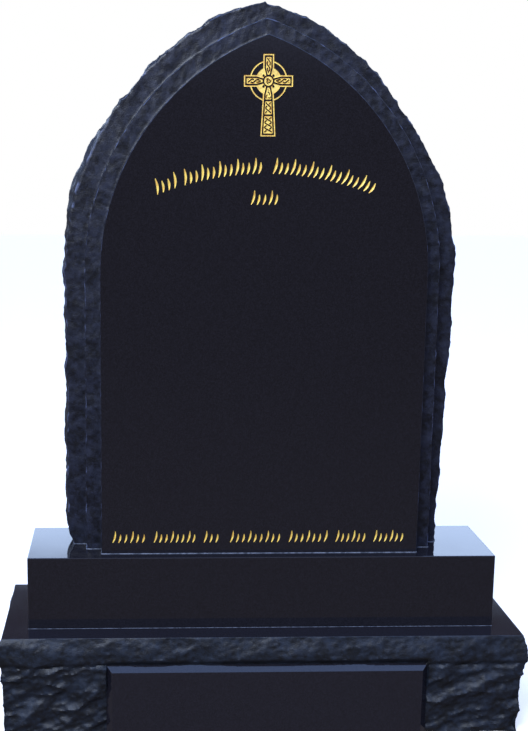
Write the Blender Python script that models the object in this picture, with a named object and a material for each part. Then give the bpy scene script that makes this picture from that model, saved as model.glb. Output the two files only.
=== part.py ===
"""Pointed-arch headstone of polished black granite on a two-step base, with a gilded Celtic cross.

Three stones stand on each other by their own weight: sub_base, plinth and tablet. All lengths are
in metres. +Z is up, the polished face looks towards -Y, and the origin is on the ground under the
middle of the sub-base. The cross and the rows of strokes are shallow recesses lined with gold leaf.
"""

import math

import bmesh
import bpy
import numpy as np

# Joint between two stones
BED_JOINT = 0.0003

# Sub-base: polished top, rock-pitched sides, and a proud polished panel on its front
SUB_WIDTH = 1.010
SUB_DEPTH = 0.310
SUB_HEIGHT = 0.203
ROCK_PROUD = 0.009
BELLY_PROUD = 0.007
BELLY_DROP = 0.045
FOOT_RECEDE = 0.010
ROCK_FLAKE = 0.062
ROCK_FLAKE_DEPTH = 0.0085
ROCK_FADE = 0.016
LEDGE_DEPTH = 0.003
PANEL_WIDTH = 0.624
PANEL_OFF_CENTRE = 0.008
PANEL_DROP = 0.056
PANEL_PROUD = 0.010
PANEL_CHAMFER = 0.011
PANEL_SHOULDER = 0.001

# Plinth: polished on all sides
PLINTH_WIDTH = 0.914
PLINTH_DEPTH = 0.203
PLINTH_HEIGHT = 0.144
PLINTH_MARGIN = 0.051
PLINTH_ARRIS = 0.0015

# Tablet: the lancet face, two stepped tiers round it and the rock-pitched edge
TABLET_MARGIN = 0.024
TABLET_OFF_CENTRE = -0.0035
TABLET_THICKNESS = 0.152
FACE_WIDTH = 0.620
SPRING_HEIGHT = 0.546
ARC_INSET = 0.156
MID_BAND = 0.030
OUTER_BAND = 0.037
FACE_STEP = 0.032
MID_STEP = 0.034
ARRIS_WAVE = 0.0016
ARRIS_WAVE_LENGTH = 0.019
EDGE_FLAKE = 0.048
EDGE_FLAKE_DEPTH = 0.0075
EDGE_BELLY = 0.004

# Places where the pitched edge leaves the pointed outline: height of the middle, half length
# and amount outwards. The apex's cut is at the middle of the edge
LEFT_SHOULDER_HEIGHT = 0.710
LEFT_SHOULDER_HALF = 0.090
LEFT_SHOULDER_SWELL = 0.009
RIGHT_SHOULDER_HEIGHT = 0.870
RIGHT_SHOULDER_HALF = 0.150
RIGHT_SHOULDER_CUT = 0.013
APEX_HALF = 0.045
APEX_CUT = 0.006
RIGHT_FOOT_LEAN = 0.018
LEFT_FOOT_HALF = 0.017
LEFT_FOOT_CHIP = 0.009

# Celtic cross, measured from the middle of its boss. The gilded grounds are sunk, and dark
# lines and strands of knotwork are left standing between them
CROSS_DROP = 0.083
ARM_UP = 0.048
ARM_SIDE = 0.0473
SHAFT_DOWN = 0.0995
ARM_HALF = 0.0104
SHAFT_FOOT_HALF = 0.0146
OUTLINE_WIDTH = 0.0024
CHANNEL = 0.0029
CROSS_SQUEEZE = 0.953
CROSS_SHIFT = 0.0005
CROSS_LEAN = 0.007
NECK_REACH = 0.0100
NECK_HALF = 0.0045
NECK_END = 0.0235
RING_RADIUS = 0.0353
RING_WIDTH = 0.0024
DISC_RADIUS = 0.0248
DOT_REACH = 0.0135
DOT_RADIUS = 0.0023
BOSS_RADIUS = 0.0083
BOSS_RIM = 0.0016
UPPER_BREAK = 0.0345
LOWER_BREAK = 0.0612
PANEL_CORNER = 0.0018

# Knotwork: two woven strands in each panel, a three-cornered knot below the boss, curls on it
STRAND_WIDTH = 0.0023
STRAND_GAP = 0.0006
STRAND_MARGIN = 0.0009
ARM_KNOT_START = 0.0145
ARM_CROSSINGS = 2.3
TREFOIL_STRAND = 0.0017
TREFOIL_REACH = 0.0045
TREFOIL_PLACE = 0.0262
TREFOIL_STRETCH = 1.4
TREFOIL_DOT = 0.0160
TREFOIL_DOT_RADIUS = 0.0009
CURL_STRAND = 0.0018
CURL_SHARES = (0.25, 0.87)
CURL_TURN = 2.6

# Recesses for the gold leaf
CROSS_DEPTH = 0.0012
RING_DEPTH = 0.0010
KEEP_MARGIN = 0.001
STROKE_LEAN = math.radians(13)
STROKE_CLEAR = 0.004

# Rows of strokes. The arched row hangs below the apex, and the foot row stands above the plinth
ARCHED_ROW_DROP = 0.2505
ARCHED_ROW_RADIUS = 0.544
ARCHED_ROW_HALF = 0.207
ARCHED_ROW_TALL = 0.030
SHORT_ROW_DROP = 0.3075
SHORT_ROW_HALF = 0.0275
SHORT_ROW_TALL = 0.027
FOOT_ROW_RISE = 0.0225
FOOT_ROW_MARGIN = 0.022
FOOT_ROW_TALL = 0.024
STROKE_PITCH = 0.0110
STROKE_FATNESS = 0.148
STROKE_DEPTH = 0.0018
STROKE_TIP = 0.28
STROKE_BOW = 0.07
TALL_EVERY = 3
SHORT_STROKE = 0.72

# Groups of strokes along each row, as shares of its length
ARCHED_GROUPS = ((0.00, 0.11), (0.13, 0.49), (0.53, 1.00))
SHORT_GROUPS = ((0.00, 1.00),)
FOOT_GROUPS = (
    (0.00, 0.12),
    (0.14, 0.29),
    (0.31, 0.37),
    (0.40, 0.58),
    (0.60, 0.74),
    (0.76, 0.87),
    (0.89, 1.00),
)

# Heights at which the face is divided, clear of the foot row, the upper rows and the cross
FOOT_BREAK = 0.10
ROW_BREAK = 0.60
CROSS_BREAK = 0.785

# Fineness of the faceted surfaces
ROCK_SPACING = 0.024
BACK_SPACING = 0.038
EDGE_SPACING = 0.026
STRIP_ROWS = 4
LOWER_ROWS = 6
EDGE_ROWS = 5
CURVE_STEPS = 6
CORNER_STEPS = 3
STROKE_STEPS = 5
TINY = 1e-6

# Scatter takes the fraction of a large sine, and flakes are this high on average
SCATTER_TURNS = (127.1, 311.7, 74.7)
SCATTER_SCALE = 43758.5453
FLAKE_MEAN = 0.45
FLAKE_LEAN = 0.6
FLAKE_STRETCH = 1.7
FLAKE_FLOOR = 0.5
FLAKE_TILT = 0.6

# Places that follow from the sizes above
SUB_FRONT = -SUB_DEPTH / 2
PLINTH_FRONT = SUB_FRONT + PLINTH_MARGIN
PLINTH_FOOT = SUB_HEIGHT + BED_JOINT
TABLET_FOOT = PLINTH_FOOT + PLINTH_HEIGHT + BED_JOINT
FACE_Y = PLINTH_FRONT + TABLET_MARGIN
MID_Y = FACE_Y + FACE_STEP
OUTER_Y = MID_Y + MID_STEP
BACK_Y = FACE_Y + TABLET_THICKNESS
ARC_RADIUS = FACE_WIDTH / 2 + ARC_INSET
APEX_HEIGHT = SPRING_HEIGHT + math.sqrt(ARC_RADIUS**2 - ARC_INSET**2)
BOSS_HEIGHT = APEX_HEIGHT - CROSS_DROP

# The cross's arms: direction, distance to the end and half width there
ARMS = (
    (0.0, ARM_SIDE, ARM_HALF),
    (0.5 * math.pi, ARM_UP, ARM_HALF),
    (1.0 * math.pi, ARM_SIDE, ARM_HALF),
    (1.5 * math.pi, SHAFT_DOWN, SHAFT_FOOT_HALF),
)


def clear_scene():
    """Removes what the scene holds, so that only the headstone is left."""
    for old in list(bpy.data.objects):
        bpy.data.objects.remove(old, do_unlink=True)


def stone(name, colour, roughness, metallic=0.0):
    """A Principled material of one colour."""
    made = bpy.data.materials.new(name)
    made.use_nodes = True
    shader = made.node_tree.nodes["Principled BSDF"]
    shader.inputs["Base Color"].default_value = (*colour, 1.0)
    shader.inputs["Roughness"].default_value = roughness
    shader.inputs["Metallic"].default_value = metallic
    made.diffuse_color = (*colour, 1.0)
    return made


def add_object(name, points, faces, *materials):
    """A mesh object with its normals turned outwards."""
    mesh = bpy.data.meshes.new(name)
    mesh.from_pydata(points, [], faces)
    work = bmesh.new()
    work.from_mesh(mesh)
    bmesh.ops.recalc_face_normals(work, faces=work.faces)
    work.to_mesh(mesh)
    work.free()
    for material in materials:
        mesh.materials.append(material)
    made = bpy.data.objects.new(name, mesh)
    bpy.context.scene.collection.objects.link(made)
    return made


def combine(target, cutter, operation, solver="EXACT"):
    """Cuts the cutter from the target, or joins it on, and keeps the cutter out of renders.

    The fine carving takes the MANIFOLD solver, which keeps its thin faces closed.
    """
    step = target.modifiers.new(f"{operation.title()} {cutter.name}", "BOOLEAN")
    step.operation = operation
    step.object = cutter
    step.solver = solver
    step.material_mode = "TRANSFER"
    cutter.hide_render = True
    cutter.display_type = "WIRE"


def scatter(column, row, seed):
    """A repeatable number from 0 to 1 for each cell of a grid: the fraction of a large sine."""
    turn = column * SCATTER_TURNS[0] + row * SCATTER_TURNS[1] + seed * SCATTER_TURNS[2]
    value = np.sin(turn) * SCATTER_SCALE
    return value - np.floor(value)


def flakes(along, across, size, seed):
    """Height of stone broken away in shallow bowls, about 0 to 1 and FLAKE_MEAN on average.

    Each cell of a slanting grid holds one bowl at its own place, depth and tilt. The surface is the
    lowest bowl at each point, so the bowls meet in ridges, as the scars of a pitching chisel do.
    """
    p = (along * math.cos(FLAKE_LEAN) + across * math.sin(FLAKE_LEAN)) / (size * FLAKE_STRETCH)
    q = (across * math.cos(FLAKE_LEAN) - along * math.sin(FLAKE_LEAN)) / size
    column, row = np.floor(p), np.floor(q)
    lowest = np.full(np.shape(p), np.inf)
    for right in (-1, 0, 1):
        for up in (-1, 0, 1):
            i, j = column + right, row + up
            dp = p - i - scatter(i, j, seed)
            dq = q - j - scatter(i, j, seed + 1)
            tilt = (scatter(i, j, seed + 2) - 0.5) * dp + (scatter(i, j, seed + 3) - 0.5) * dq
            floor = FLAKE_FLOOR * scatter(i, j, seed + 4)
            lowest = np.minimum(lowest, floor + dp * dp + dq * dq + FLAKE_TILT * tilt)
    return lowest


def steps(start, end, spacing):
    """Evenly spaced values from start up to, but without, end."""
    count = max(1, round(abs(end - start) / spacing))
    return np.linspace(start, end, count, endpoint=False)


def hump(value, middle, half_length):
    """1 at the middle, falling smoothly to almost 0 at twice the half length from it."""
    return np.exp(-(((value - middle) / half_length) ** 2))


def skin(index, closed):
    """Quads over a grid of point numbers. A closed grid meets itself along its second axis."""
    if closed:
        index = np.column_stack([index, index[:, :1]])
    corners = (index[:-1, :-1], index[:-1, 1:], index[1:, 1:], index[1:, :-1])
    return np.stack(corners, axis=-1).reshape(-1, 4).tolist()


def tube(rings, closed=False):
    """Points and faces of a solid through rings of points. An open run of rings gets two end faces."""
    rings = np.asarray(rings, float)
    index = np.arange(rings.shape[0] * rings.shape[1]).reshape(rings.shape[:2])
    if closed:
        faces = skin(np.vstack([index, index[:1]]), closed=True)
    else:
        faces = skin(index, closed=True) + [index[0].tolist(), index[-1].tolist()]
    return rings.reshape(-1, 3), faces


def sub_base_outline():
    """Stations round the top of the sub-base: place, outward direction, side and distance run."""
    half_w, half_d = SUB_WIDTH / 2, SUB_DEPTH / 2
    panel = PANEL_OFF_CENTRE + np.array([-0.5, 0.5]) * PANEL_WIDTH
    front = np.concatenate(
        [
            steps(-half_w, panel[0], ROCK_SPACING),
            steps(panel[0], panel[1], ROCK_SPACING),
            steps(panel[1], half_w, ROCK_SPACING),
        ]
    )
    side = steps(-half_d, half_d, ROCK_SPACING)
    back = steps(half_w, -half_w, BACK_SPACING)
    x = np.concatenate([front, np.full(len(side), half_w), back, np.full(len(side), -half_w)])
    y = np.concatenate([np.full(len(front), -half_d), side, np.full(len(back), half_d), -side])
    out_x = np.sign(x) * (np.abs(x) > half_w - TINY)
    out_y = np.sign(y) * (np.abs(y) > half_d - TINY)
    run = np.concatenate([[0], np.cumsum(np.hypot(np.diff(x), np.diff(y)))])
    return x, y, out_x, out_y, run


def rock_offset(x, out_y, run, drop):
    """How far the pitched side stands out from the top arris, at each distance below it.

    The side swells to a belly just below the arris and then recedes to the ground. Large flakes
    roughen it, and on the front a ledge crosses it in line with the head of the panel.
    """
    rise = 1 - (1 - np.minimum(drop / BELLY_DROP, 1)) ** 2
    recede = np.maximum(drop - BELLY_DROP, 0) / (SUB_HEIGHT - BELLY_DROP)
    rough = flakes(run + 0 * drop, 0 * run - drop, ROCK_FLAKE, seed=3) - FLAKE_MEAN
    fade = np.minimum(drop / ROCK_FADE, 1)
    offset = BELLY_PROUD * rise - FOOT_RECEDE * recede + ROCK_FLAKE_DEPTH * rough * fade
    front = out_y < 0
    offset = offset - LEDGE_DEPTH * front * (np.abs(drop - PANEL_DROP) < TINY)
    offset = np.minimum(offset, ROCK_PROUD)
    across_panel = np.abs(x - PANEL_OFF_CENTRE) < PANEL_WIDTH / 2 + TINY
    in_panel = front & across_panel & (drop > PANEL_DROP - TINY)
    return np.where(in_panel, PANEL_PROUD - PANEL_CHAMFER - PANEL_SHOULDER, offset)


def panel_block():
    """Rings of the panel from inside the stone to its front: the two outer ones give the chamfer."""
    left = PANEL_OFF_CENTRE - PANEL_WIDTH / 2
    right = PANEL_OFF_CENTRE + PANEL_WIDTH / 2
    top = SUB_HEIGHT - PANEL_DROP
    front = SUB_FRONT - PANEL_PROUD
    rings = []
    for y, inset in (
        (SUB_FRONT + PANEL_PROUD + PANEL_CHAMFER, 0),
        (front + PANEL_CHAMFER, 0),
        (front, PANEL_CHAMFER),
    ):
        low_x, high_x, high_z = left + inset, right - inset, top - inset
        rings.append([(low_x, y, 0), (high_x, y, 0), (high_x, y, high_z), (low_x, y, high_z)])
    return np.array(rings)


def make_sub_base():
    """The wide bottom stone, with its panel joined on because both are cut from one block."""
    x, y, out_x, out_y, run = sub_base_outline()
    strip = np.linspace(0, PANEL_DROP, STRIP_ROWS + 1)
    lower = np.linspace(PANEL_DROP, SUB_HEIGHT, LOWER_ROWS + 1)[1:]
    drop = np.concatenate([strip, lower])[:, None]
    offset = rock_offset(x, out_y, run, drop)
    level = SUB_HEIGHT - drop + 0 * offset
    points = np.stack([x + out_x * offset, y + out_y * offset, level], axis=-1)
    index = np.arange(offset.size).reshape(offset.shape)
    faces = skin(index, closed=True) + [index[0].tolist(), index[-1].tolist()]
    granite = stone("sub_base_granite", (0.020, 0.019, 0.026), 0.45)
    made = add_object("sub_base", points.reshape(-1, 3), faces, granite)
    combine(made, add_object("panel_block", *tube(panel_block()), granite), "UNION")
    return made


def make_plinth():
    """The polished block between the sub-base and the tablet."""
    half_w = PLINTH_WIDTH / 2
    low = (-half_w, PLINTH_FRONT, PLINTH_FOOT)
    high = (half_w, PLINTH_FRONT + PLINTH_DEPTH, PLINTH_FOOT + PLINTH_HEIGHT)
    corners = [(low[0], low[1]), (high[0], low[1]), (high[0], high[1]), (low[0], high[1])]
    rings = [[(x, y, z) for x, y in corners] for z in (low[2], high[2])]
    granite = stone("plinth_granite", (0.015, 0.014, 0.020), 0.12)
    made = add_object("plinth", *tube(rings), granite)
    arris = made.modifiers.new("Arris", "BEVEL")
    arris.width = PLINTH_ARRIS
    arris.segments = 2
    return made


def lancet(station, offset):
    """x and height of the pointed outline, standing `offset` outside the face.

    The station runs -2, -1, 0, 1, 2 over left foot, left springing, apex, right springing and right
    foot. Each arc turns about a centre on the springing line, ARC_INSET beyond the middle.
    """
    side, turn = np.sign(station), np.abs(station)
    radius = ARC_RADIUS + offset
    angle = np.clip(1 - turn, 0, 1) * np.arccos(ARC_INSET / radius)
    x = side * (radius * np.cos(angle) - ARC_INSET)
    height = SPRING_HEIGHT * np.clip(2 - turn, 0, 1) + radius * np.sin(angle)
    return x, height


def edge_stations():
    """Stations round the tablet about EDGE_SPACING apart, and how far each is from the apex."""
    outside = ARC_RADIUS + MID_BAND + OUTER_BAND
    arc = outside * math.acos(ARC_INSET / outside)
    straight = -1 - steps(1, 0, EDGE_SPACING / SPRING_HEIGHT)
    rising = np.concatenate([straight, -steps(1, 0, EDGE_SPACING / arc)])
    station = np.concatenate([rising, [0], -rising[::-1]])
    turn = np.abs(station)
    run = np.sign(station) * (np.minimum(turn, 1) * arc + np.maximum(turn - 1, 0) * SPRING_HEIGHT)
    return station, run


def arris_offset(station, run):
    """How far the front arris of the pitched edge stands from the pointed outline."""
    _, height = lancet(station, MID_BAND + OUTER_BAND)
    shoulder = hump(height, RIGHT_SHOULDER_HEIGHT, RIGHT_SHOULDER_HALF) * (station > 0)
    apex = hump(run, 0, APEX_HALF)
    chip = hump(height, 0, LEFT_FOOT_HALF) * (station < 0)
    cut = RIGHT_SHOULDER_CUT * shoulder + APEX_CUT * apex + LEFT_FOOT_CHIP * chip
    cut = cut + RIGHT_FOOT_LEAN * np.clip(station - 1, 0, 1)
    return EDGE_FLAKE_DEPTH / 2 * (flakes(run, 0 * run, EDGE_FLAKE, seed=11) - FLAKE_MEAN) - cut


def pitched_edge(station, run, depth):
    """Offset of the rock-pitched edge at a depth behind its front arris: a belly with flakes on it."""
    total = BACK_Y - OUTER_Y
    _, height = lancet(station, MID_BAND + OUTER_BAND)
    shoulder = hump(height, LEFT_SHOULDER_HEIGHT, LEFT_SHOULDER_HALF) * (station < 0)
    belly = EDGE_BELLY + LEFT_SHOULDER_SWELL * shoulder
    rough = flakes(run + 0 * depth, depth + 0 * run, EDGE_FLAKE, seed=11) - FLAKE_MEAN
    across = np.sin(math.pi * np.clip(depth / total, 0, 1))
    return arris_offset(station, run) + belly * np.sqrt(across) + EDGE_FLAKE_DEPTH * rough * across


def tablet_rows(station, run):
    """Offset and y of each line that runs round the tablet, from the face's arris to the back's."""
    level = 0 * run
    wave = ARRIS_WAVE * (flakes(run, level, ARRIS_WAVE_LENGTH, seed=23) - FLAKE_MEAN)
    rows = [
        (level, level + FACE_Y),
        (level, level + MID_Y),
        (MID_BAND + wave, MID_Y + wave),
        (MID_BAND + wave, level + OUTER_Y),
    ]
    for depth in np.linspace(0, BACK_Y - OUTER_Y, EDGE_ROWS + 1):
        offset = MID_BAND + OUTER_BAND + pitched_edge(station, run, depth)
        rows.append((offset, level + OUTER_Y + depth))
    return rows


def face_panels(index, height):
    """The polished face as a few polygons, so that each carving cuts only the one it lies in."""
    middle = len(index) // 2
    levels = (FOOT_BREAK, ROW_BREAK, CROSS_BREAK)
    breaks = sorted({0, middle} | {int(np.abs(height[:middle] - level).argmin()) for level in levels})
    panels = []
    for low, high in zip(breaks[:-1], breaks[1:]):
        left, right = index[low : high + 1], index[::-1][low : high + 1]
        panels.append(list(dict.fromkeys(left.tolist() + right[::-1].tolist())))
    return panels


def make_tablet():
    """The upright stone with its tiers, before anything is carved into its face."""
    station, run = edge_stations()
    lines = []
    for offset, y in tablet_rows(station, run):
        x, height = lancet(station, offset)
        lines.append(np.column_stack([TABLET_OFF_CENTRE + x, y, TABLET_FOOT + height]))
    index = np.arange(len(lines) * len(station)).reshape(len(lines), len(station))
    foot = index[:, 0].tolist() + index[::-1, -1].tolist()
    faces = skin(index, closed=False) + [index[-1].tolist(), foot]
    faces += face_panels(index[0], lancet(station, 0)[1])
    granite = stone("tablet_granite", (0.016, 0.015, 0.021), 0.14)
    return add_object("tablet", np.concatenate(lines), faces, granite)


def on_face(x, height, sink):
    """Points of the face's plane, sunk into the stone by `sink` and measured from the tablet's foot."""
    x, height, sink = np.broadcast_arrays(x, height, sink)
    return np.stack([TABLET_OFF_CENTRE + x, FACE_Y + sink, TABLET_FOOT + height], axis=-1)


def cross_place(points):
    """x and height of points given from the middle of the boss: squeezed, shifted and leant."""
    points = np.asarray(points, float)
    x = CROSS_SHIFT + CROSS_SQUEEZE * points[:, 0] - CROSS_LEAN * points[:, 1]
    return x, BOSS_HEIGHT + points[:, 1]


def plate(outline, depth, margin=0.0):
    """A flat-bottomed solid of a closed outline, from clear of the face to a depth below it.

    What is kept from a cutter gets a margin, so that it passes right through it.
    """
    x, height = cross_place(outline)
    return tube([on_face(x, height, -STROKE_CLEAR - margin), on_face(x, height, depth + margin)])


def band(first, second, depth, margin=0.0):
    """A flat-bottomed solid between two open lines with as many points each."""
    top, bottom = -STROKE_CLEAR - margin, depth + margin
    rings = []
    for line, sink in ((first, top), (second, top), (second, bottom), (first, bottom)):
        rings.append(on_face(*cross_place(line), sink))
    return tube(np.stack(rings, axis=1))


def ribbon(path, width, depth, margin=0.0):
    """A flat-bottomed solid of one width along an open path."""
    path = np.asarray(path, float)
    ahead = np.gradient(path, axis=0)
    ahead /= np.linalg.norm(ahead, axis=1)[:, None]
    across = np.column_stack([-ahead[:, 1], ahead[:, 0]]) * width / 2
    return band(path + across, path - across, depth, margin)


def arc_points(radius, start, end, count, centre=(0.0, 0.0)):
    """Points on a circle between two angles in radians."""
    angle = np.linspace(start, end, count)
    return np.column_stack([centre[0] + radius * np.cos(angle), centre[1] + radius * np.sin(angle)])


def laid(turn, reach, side):
    """Points of an arm's own frame, along it and across it, turned into the plane of the cross."""
    along = np.array([math.cos(turn), math.sin(turn)])
    across = np.array([-along[1], along[0]])
    return np.outer(reach, along) + np.outer(side, across)


def rounded(corners, size):
    """An outline with its corners rounded: each becomes a parabola that starts `size` before it."""
    before = np.roll(corners, 1, axis=0) - corners
    after = np.roll(corners, -1, axis=0) - corners
    before /= np.linalg.norm(before, axis=1)[:, None]
    after /= np.linalg.norm(after, axis=1)[:, None]
    t = np.linspace(0, 1, CORNER_STEPS)[:, None, None]
    curves = corners + size * ((1 - t) ** 2 * before + t**2 * after)
    return curves.transpose(1, 0, 2).reshape(-1, 2)


def cross_outline():
    """The outer edge of the cross, with the disc's four arcs in the angles between its arms."""
    start = math.asin(ARM_HALF / DISC_RADIUS)
    lines = []
    for turn, end, end_half in ARMS:
        lines.append(laid(turn, [end, end], [-end_half, end_half]))
        lines.append(arc_points(DISC_RADIUS, turn + start, turn + math.pi / 2 - start, CURVE_STEPS))
    return np.concatenate(lines)


def inner_outline():
    """The inner edge of the gold line: the same cross, waisted towards the boss and round it."""
    half = ARM_HALF - OUTLINE_WIDTH
    start = math.atan2(NECK_HALF, NECK_REACH)
    neck = math.hypot(NECK_HALF, NECK_REACH)
    lines = []
    for turn, end, end_half in ARMS:
        end, end_half = end - OUTLINE_WIDTH, end_half - OUTLINE_WIDTH
        lines.append(laid(turn, [NECK_END, end, end, NECK_END], [-half, -end_half, end_half, half]))
        lines.append(arc_points(neck, turn + start, turn + math.pi / 2 - start, CURVE_STEPS // 2))
    return np.concatenate(lines)


def room(reach, end, end_half):
    """Half width inside the gold line at a distance along an arm."""
    places = (NECK_REACH, NECK_END, end - OUTLINE_WIDTH)
    return np.interp(reach, places, (NECK_HALF, ARM_HALF - OUTLINE_WIDTH, end_half - OUTLINE_WIDTH))


def panel_outline(arm, start, stop):
    """A gilded panel between two distances along an arm. A dark channel parts it from the gold line."""
    turn, end, end_half = arm
    reach = [start] + [NECK_END] * (start < NECK_END < stop) + [stop]
    side = room(reach, end, end_half) - CHANNEL
    corners = [laid(turn, reach, -side), laid(turn, reach[::-1], side[::-1])]
    return rounded(np.concatenate(corners), PANEL_CORNER)


def knot(arm, start, stop, crossings, lag=0.0):
    """Two strands that weave over and under each other along a panel.

    Each strand swings from side to side as a cosine, the second one mirrored, so that they start
    in the panel's corners, or with a lag of half a swing in a point. They cross where the cosine
    is zero, and the lower strand stops short on both sides of a crossing.
    """
    turn, end, end_half = arm
    length = stop - start
    border = CHANNEL + STRAND_MARGIN + STRAND_WIDTH / 2
    pieces = []
    for strand, side in enumerate((1, -1)):
        zeros = (np.arange(strand, crossings, 2) + 0.5 - lag) / crossings
        under = zeros[zeros < 1].tolist()
        breaks = sorted({0.0, 1.0, *under})
        for low, high in zip(breaks[:-1], breaks[1:]):
            ends = []
            for place, direction in ((low, 1), (high, -1)):
                swing = room(start + length * place, end, end_half) - border
                slope = swing * math.pi * crossings / length
                short = (STRAND_WIDTH + STRAND_GAP) / math.hypot(1, slope) / length
                ends.append(place + direction * short * (place in under))
            t = np.linspace(*ends, 1 + CURVE_STEPS * max(1, round((high - low) * crossings)))
            reach = start + length * t
            swing = room(reach, end, end_half) - border
            wave = np.cos(math.pi * (crossings * t + lag))
            pieces.append(laid(turn, reach, side * swing * wave))
    return pieces


def trefoil():
    """The three-cornered knot of the shaft: one endless strand that crosses itself three times.

    The line is a unit circle plus a second one of twice the size, turned backwards twice as fast.
    It crosses itself where the cosine of the turn is -1/4, and it is cut where it passes under.
    Its furthest corner lies 3 units from its middle.
    """
    crossing = math.acos(-0.25)
    stop = (TREFOIL_STRAND + STRAND_GAP) / TREFOIL_REACH
    pieces = []
    for k in range(3):
        low = -crossing + (k + 1) * 2 * math.pi / 3
        turn = np.linspace(low + stop, low + 2 * math.pi / 3 - stop, 2 * CURVE_STEPS)
        x = np.sin(turn) + 2 * np.sin(2 * turn)
        z = TREFOIL_STRETCH * (2 * np.cos(2 * turn) - np.cos(turn))
        pieces.append(np.column_stack([x, z]) * TREFOIL_REACH / 3 - (0, TREFOIL_PLACE))
    return pieces


def curls():
    """Three curls on the boss, each a part of a spiral."""
    inner = BOSS_RADIUS - BOSS_RIM - CURL_STRAND / 2
    pieces = []
    for k in range(3):
        angle = 2 * math.pi * k / 3 + np.linspace(0, CURL_TURN, CURVE_STEPS)
        reach = inner * np.linspace(*CURL_SHARES, CURVE_STEPS)
        pieces.append(np.column_stack([reach * np.cos(angle), reach * np.sin(angle)]))
    return pieces


def disc(radius, reach, turn):
    """The outline of a small round place at a distance from the boss."""
    centre = (reach * math.cos(turn), reach * math.sin(turn))
    count = 2 * CURVE_STEPS
    return arc_points(radius, 0, 2 * math.pi * (1 - 1 / count), count, centre)


def cross_panels():
    """Outlines of the gilded panels and the boss, and the knots' paths that stay on them."""
    shaft = ARMS[3]
    first = BOSS_RADIUS + CHANNEL
    edge = STRAND_MARGIN + STRAND_WIDTH / 2
    outlines, paths = [disc(BOSS_RADIUS, 0, 0)], []
    for arm in ARMS[:3]:
        last = arm[1] - OUTLINE_WIDTH - CHANNEL
        outlines.append(panel_outline(arm, first, last))
        paths += knot(arm, ARM_KNOT_START, last - edge, ARM_CROSSINGS, lag=0.5)
    outlines.append(panel_outline(shaft, first, UPPER_BREAK - CHANNEL / 2))
    for start, stop, crossings in (
        (UPPER_BREAK + CHANNEL / 2, LOWER_BREAK - CHANNEL / 2, 2),
        (LOWER_BREAK + CHANNEL / 2, SHAFT_DOWN - OUTLINE_WIDTH - CHANNEL, 3),
    ):
        outlines.append(panel_outline(shaft, start, stop))
        paths += knot(shaft, start + edge, stop - edge, crossings)
    return outlines, paths


def join_shapes(shapes):
    """Several closed shapes as one list of points and one of faces."""
    points, faces, count = [], [], 0
    for shape_points, shape_faces in shapes:
        points.append(shape_points)
        faces += [[count + corner for corner in face] for face in shape_faces]
        count += len(shape_points)
    return np.concatenate(points), faces


def ring_shapes():
    """The ring's four arcs between the arms. Each runs into the gold line round the cross."""
    outer, inner = RING_RADIUS + RING_WIDTH / 2, RING_RADIUS - RING_WIDTH / 2
    start = math.asin((ARM_HALF - OUTLINE_WIDTH / 2) / outer)
    shapes = []
    for turn, _, _ in ARMS:
        low, high = turn + start, turn + math.pi / 2 - start
        arcs = [arc_points(radius, low, high, CURVE_STEPS + 1) for radius in (outer, inner)]
        shapes.append(band(*arcs, RING_DEPTH))
    return shapes


def stroke(x, height, tall, turn, width):
    """A leaf-shaped V-cut stroke that stands on (x, height), turned with the row it belongs to.

    Its width, depth and sideways bow swell from its two tips to its middle as a sine. The
    cross-section has five points: two clear of the face, two on it and one at the bottom.
    """
    t = np.linspace(0, 1, STROKE_STEPS)
    swell = STROKE_TIP + (1 - STROKE_TIP) * np.sin(math.pi * t)
    lean = STROKE_LEAN + turn
    across = np.array([math.cos(lean), -math.sin(lean)]) * width / 2
    aside = 2 * STROKE_BOW * tall / width * np.sin(math.pi * t)
    middle_x = x + t * tall * math.sin(lean) + aside * across[0]
    middle_z = height + t * tall * math.cos(lean) + aside * across[1]
    rings = []
    for side, sink in ((-1, -STROKE_CLEAR), (1, -STROKE_CLEAR), (1, 0), (0, 1), (-1, 0)):
        depth = STROKE_DEPTH * swell if sink > 0 else sink
        edge_x, edge_z = middle_x + side * swell * across[0], middle_z + side * swell * across[1]
        rings.append(on_face(edge_x, edge_z, depth))
    return tube(np.stack(rings, axis=1))


def row_shapes(half, groups, tall, place):
    """One row of strokes, tall and short by turns.

    `place` gives x, height and turn at a distance along the row.
    """
    shapes = []
    for first, last in groups:
        start, end = half * (2 * first - 1), half * (2 * last - 1)
        count = max(2, round((end - start) / STROKE_PITCH))
        for number, along in enumerate(np.linspace(start, end, count + 1)[:-1]):
            share = SHORT_STROKE if number % TALL_EVERY else 1.0
            x, height, turn = place(along)
            shapes.append(stroke(x, height, tall * share, turn, tall * STROKE_FATNESS))
    return shapes


def arched_place(along):
    """A place on the arched row, which is part of a circle."""
    turn = along / ARCHED_ROW_RADIUS
    fall = ARCHED_ROW_RADIUS * (1 - math.cos(turn))
    return ARCHED_ROW_RADIUS * math.sin(turn), APEX_HEIGHT - ARCHED_ROW_DROP - fall, turn


def short_place(along):
    """A place on the short straight row."""
    return along, APEX_HEIGHT - SHORT_ROW_DROP, 0.0


def foot_place(along):
    """A place on the straight row above the plinth."""
    return along, FOOT_ROW_RISE, 0.0


def row_cutters():
    """The strokes of all three rows."""
    foot_half = FACE_WIDTH / 2 - FOOT_ROW_MARGIN
    shapes = row_shapes(ARCHED_ROW_HALF, ARCHED_GROUPS, ARCHED_ROW_TALL, arched_place)
    shapes += row_shapes(SHORT_ROW_HALF, SHORT_GROUPS, SHORT_ROW_TALL, short_place)
    shapes += row_shapes(foot_half, FOOT_GROUPS, FOOT_ROW_TALL, foot_place)
    return shapes


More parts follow.
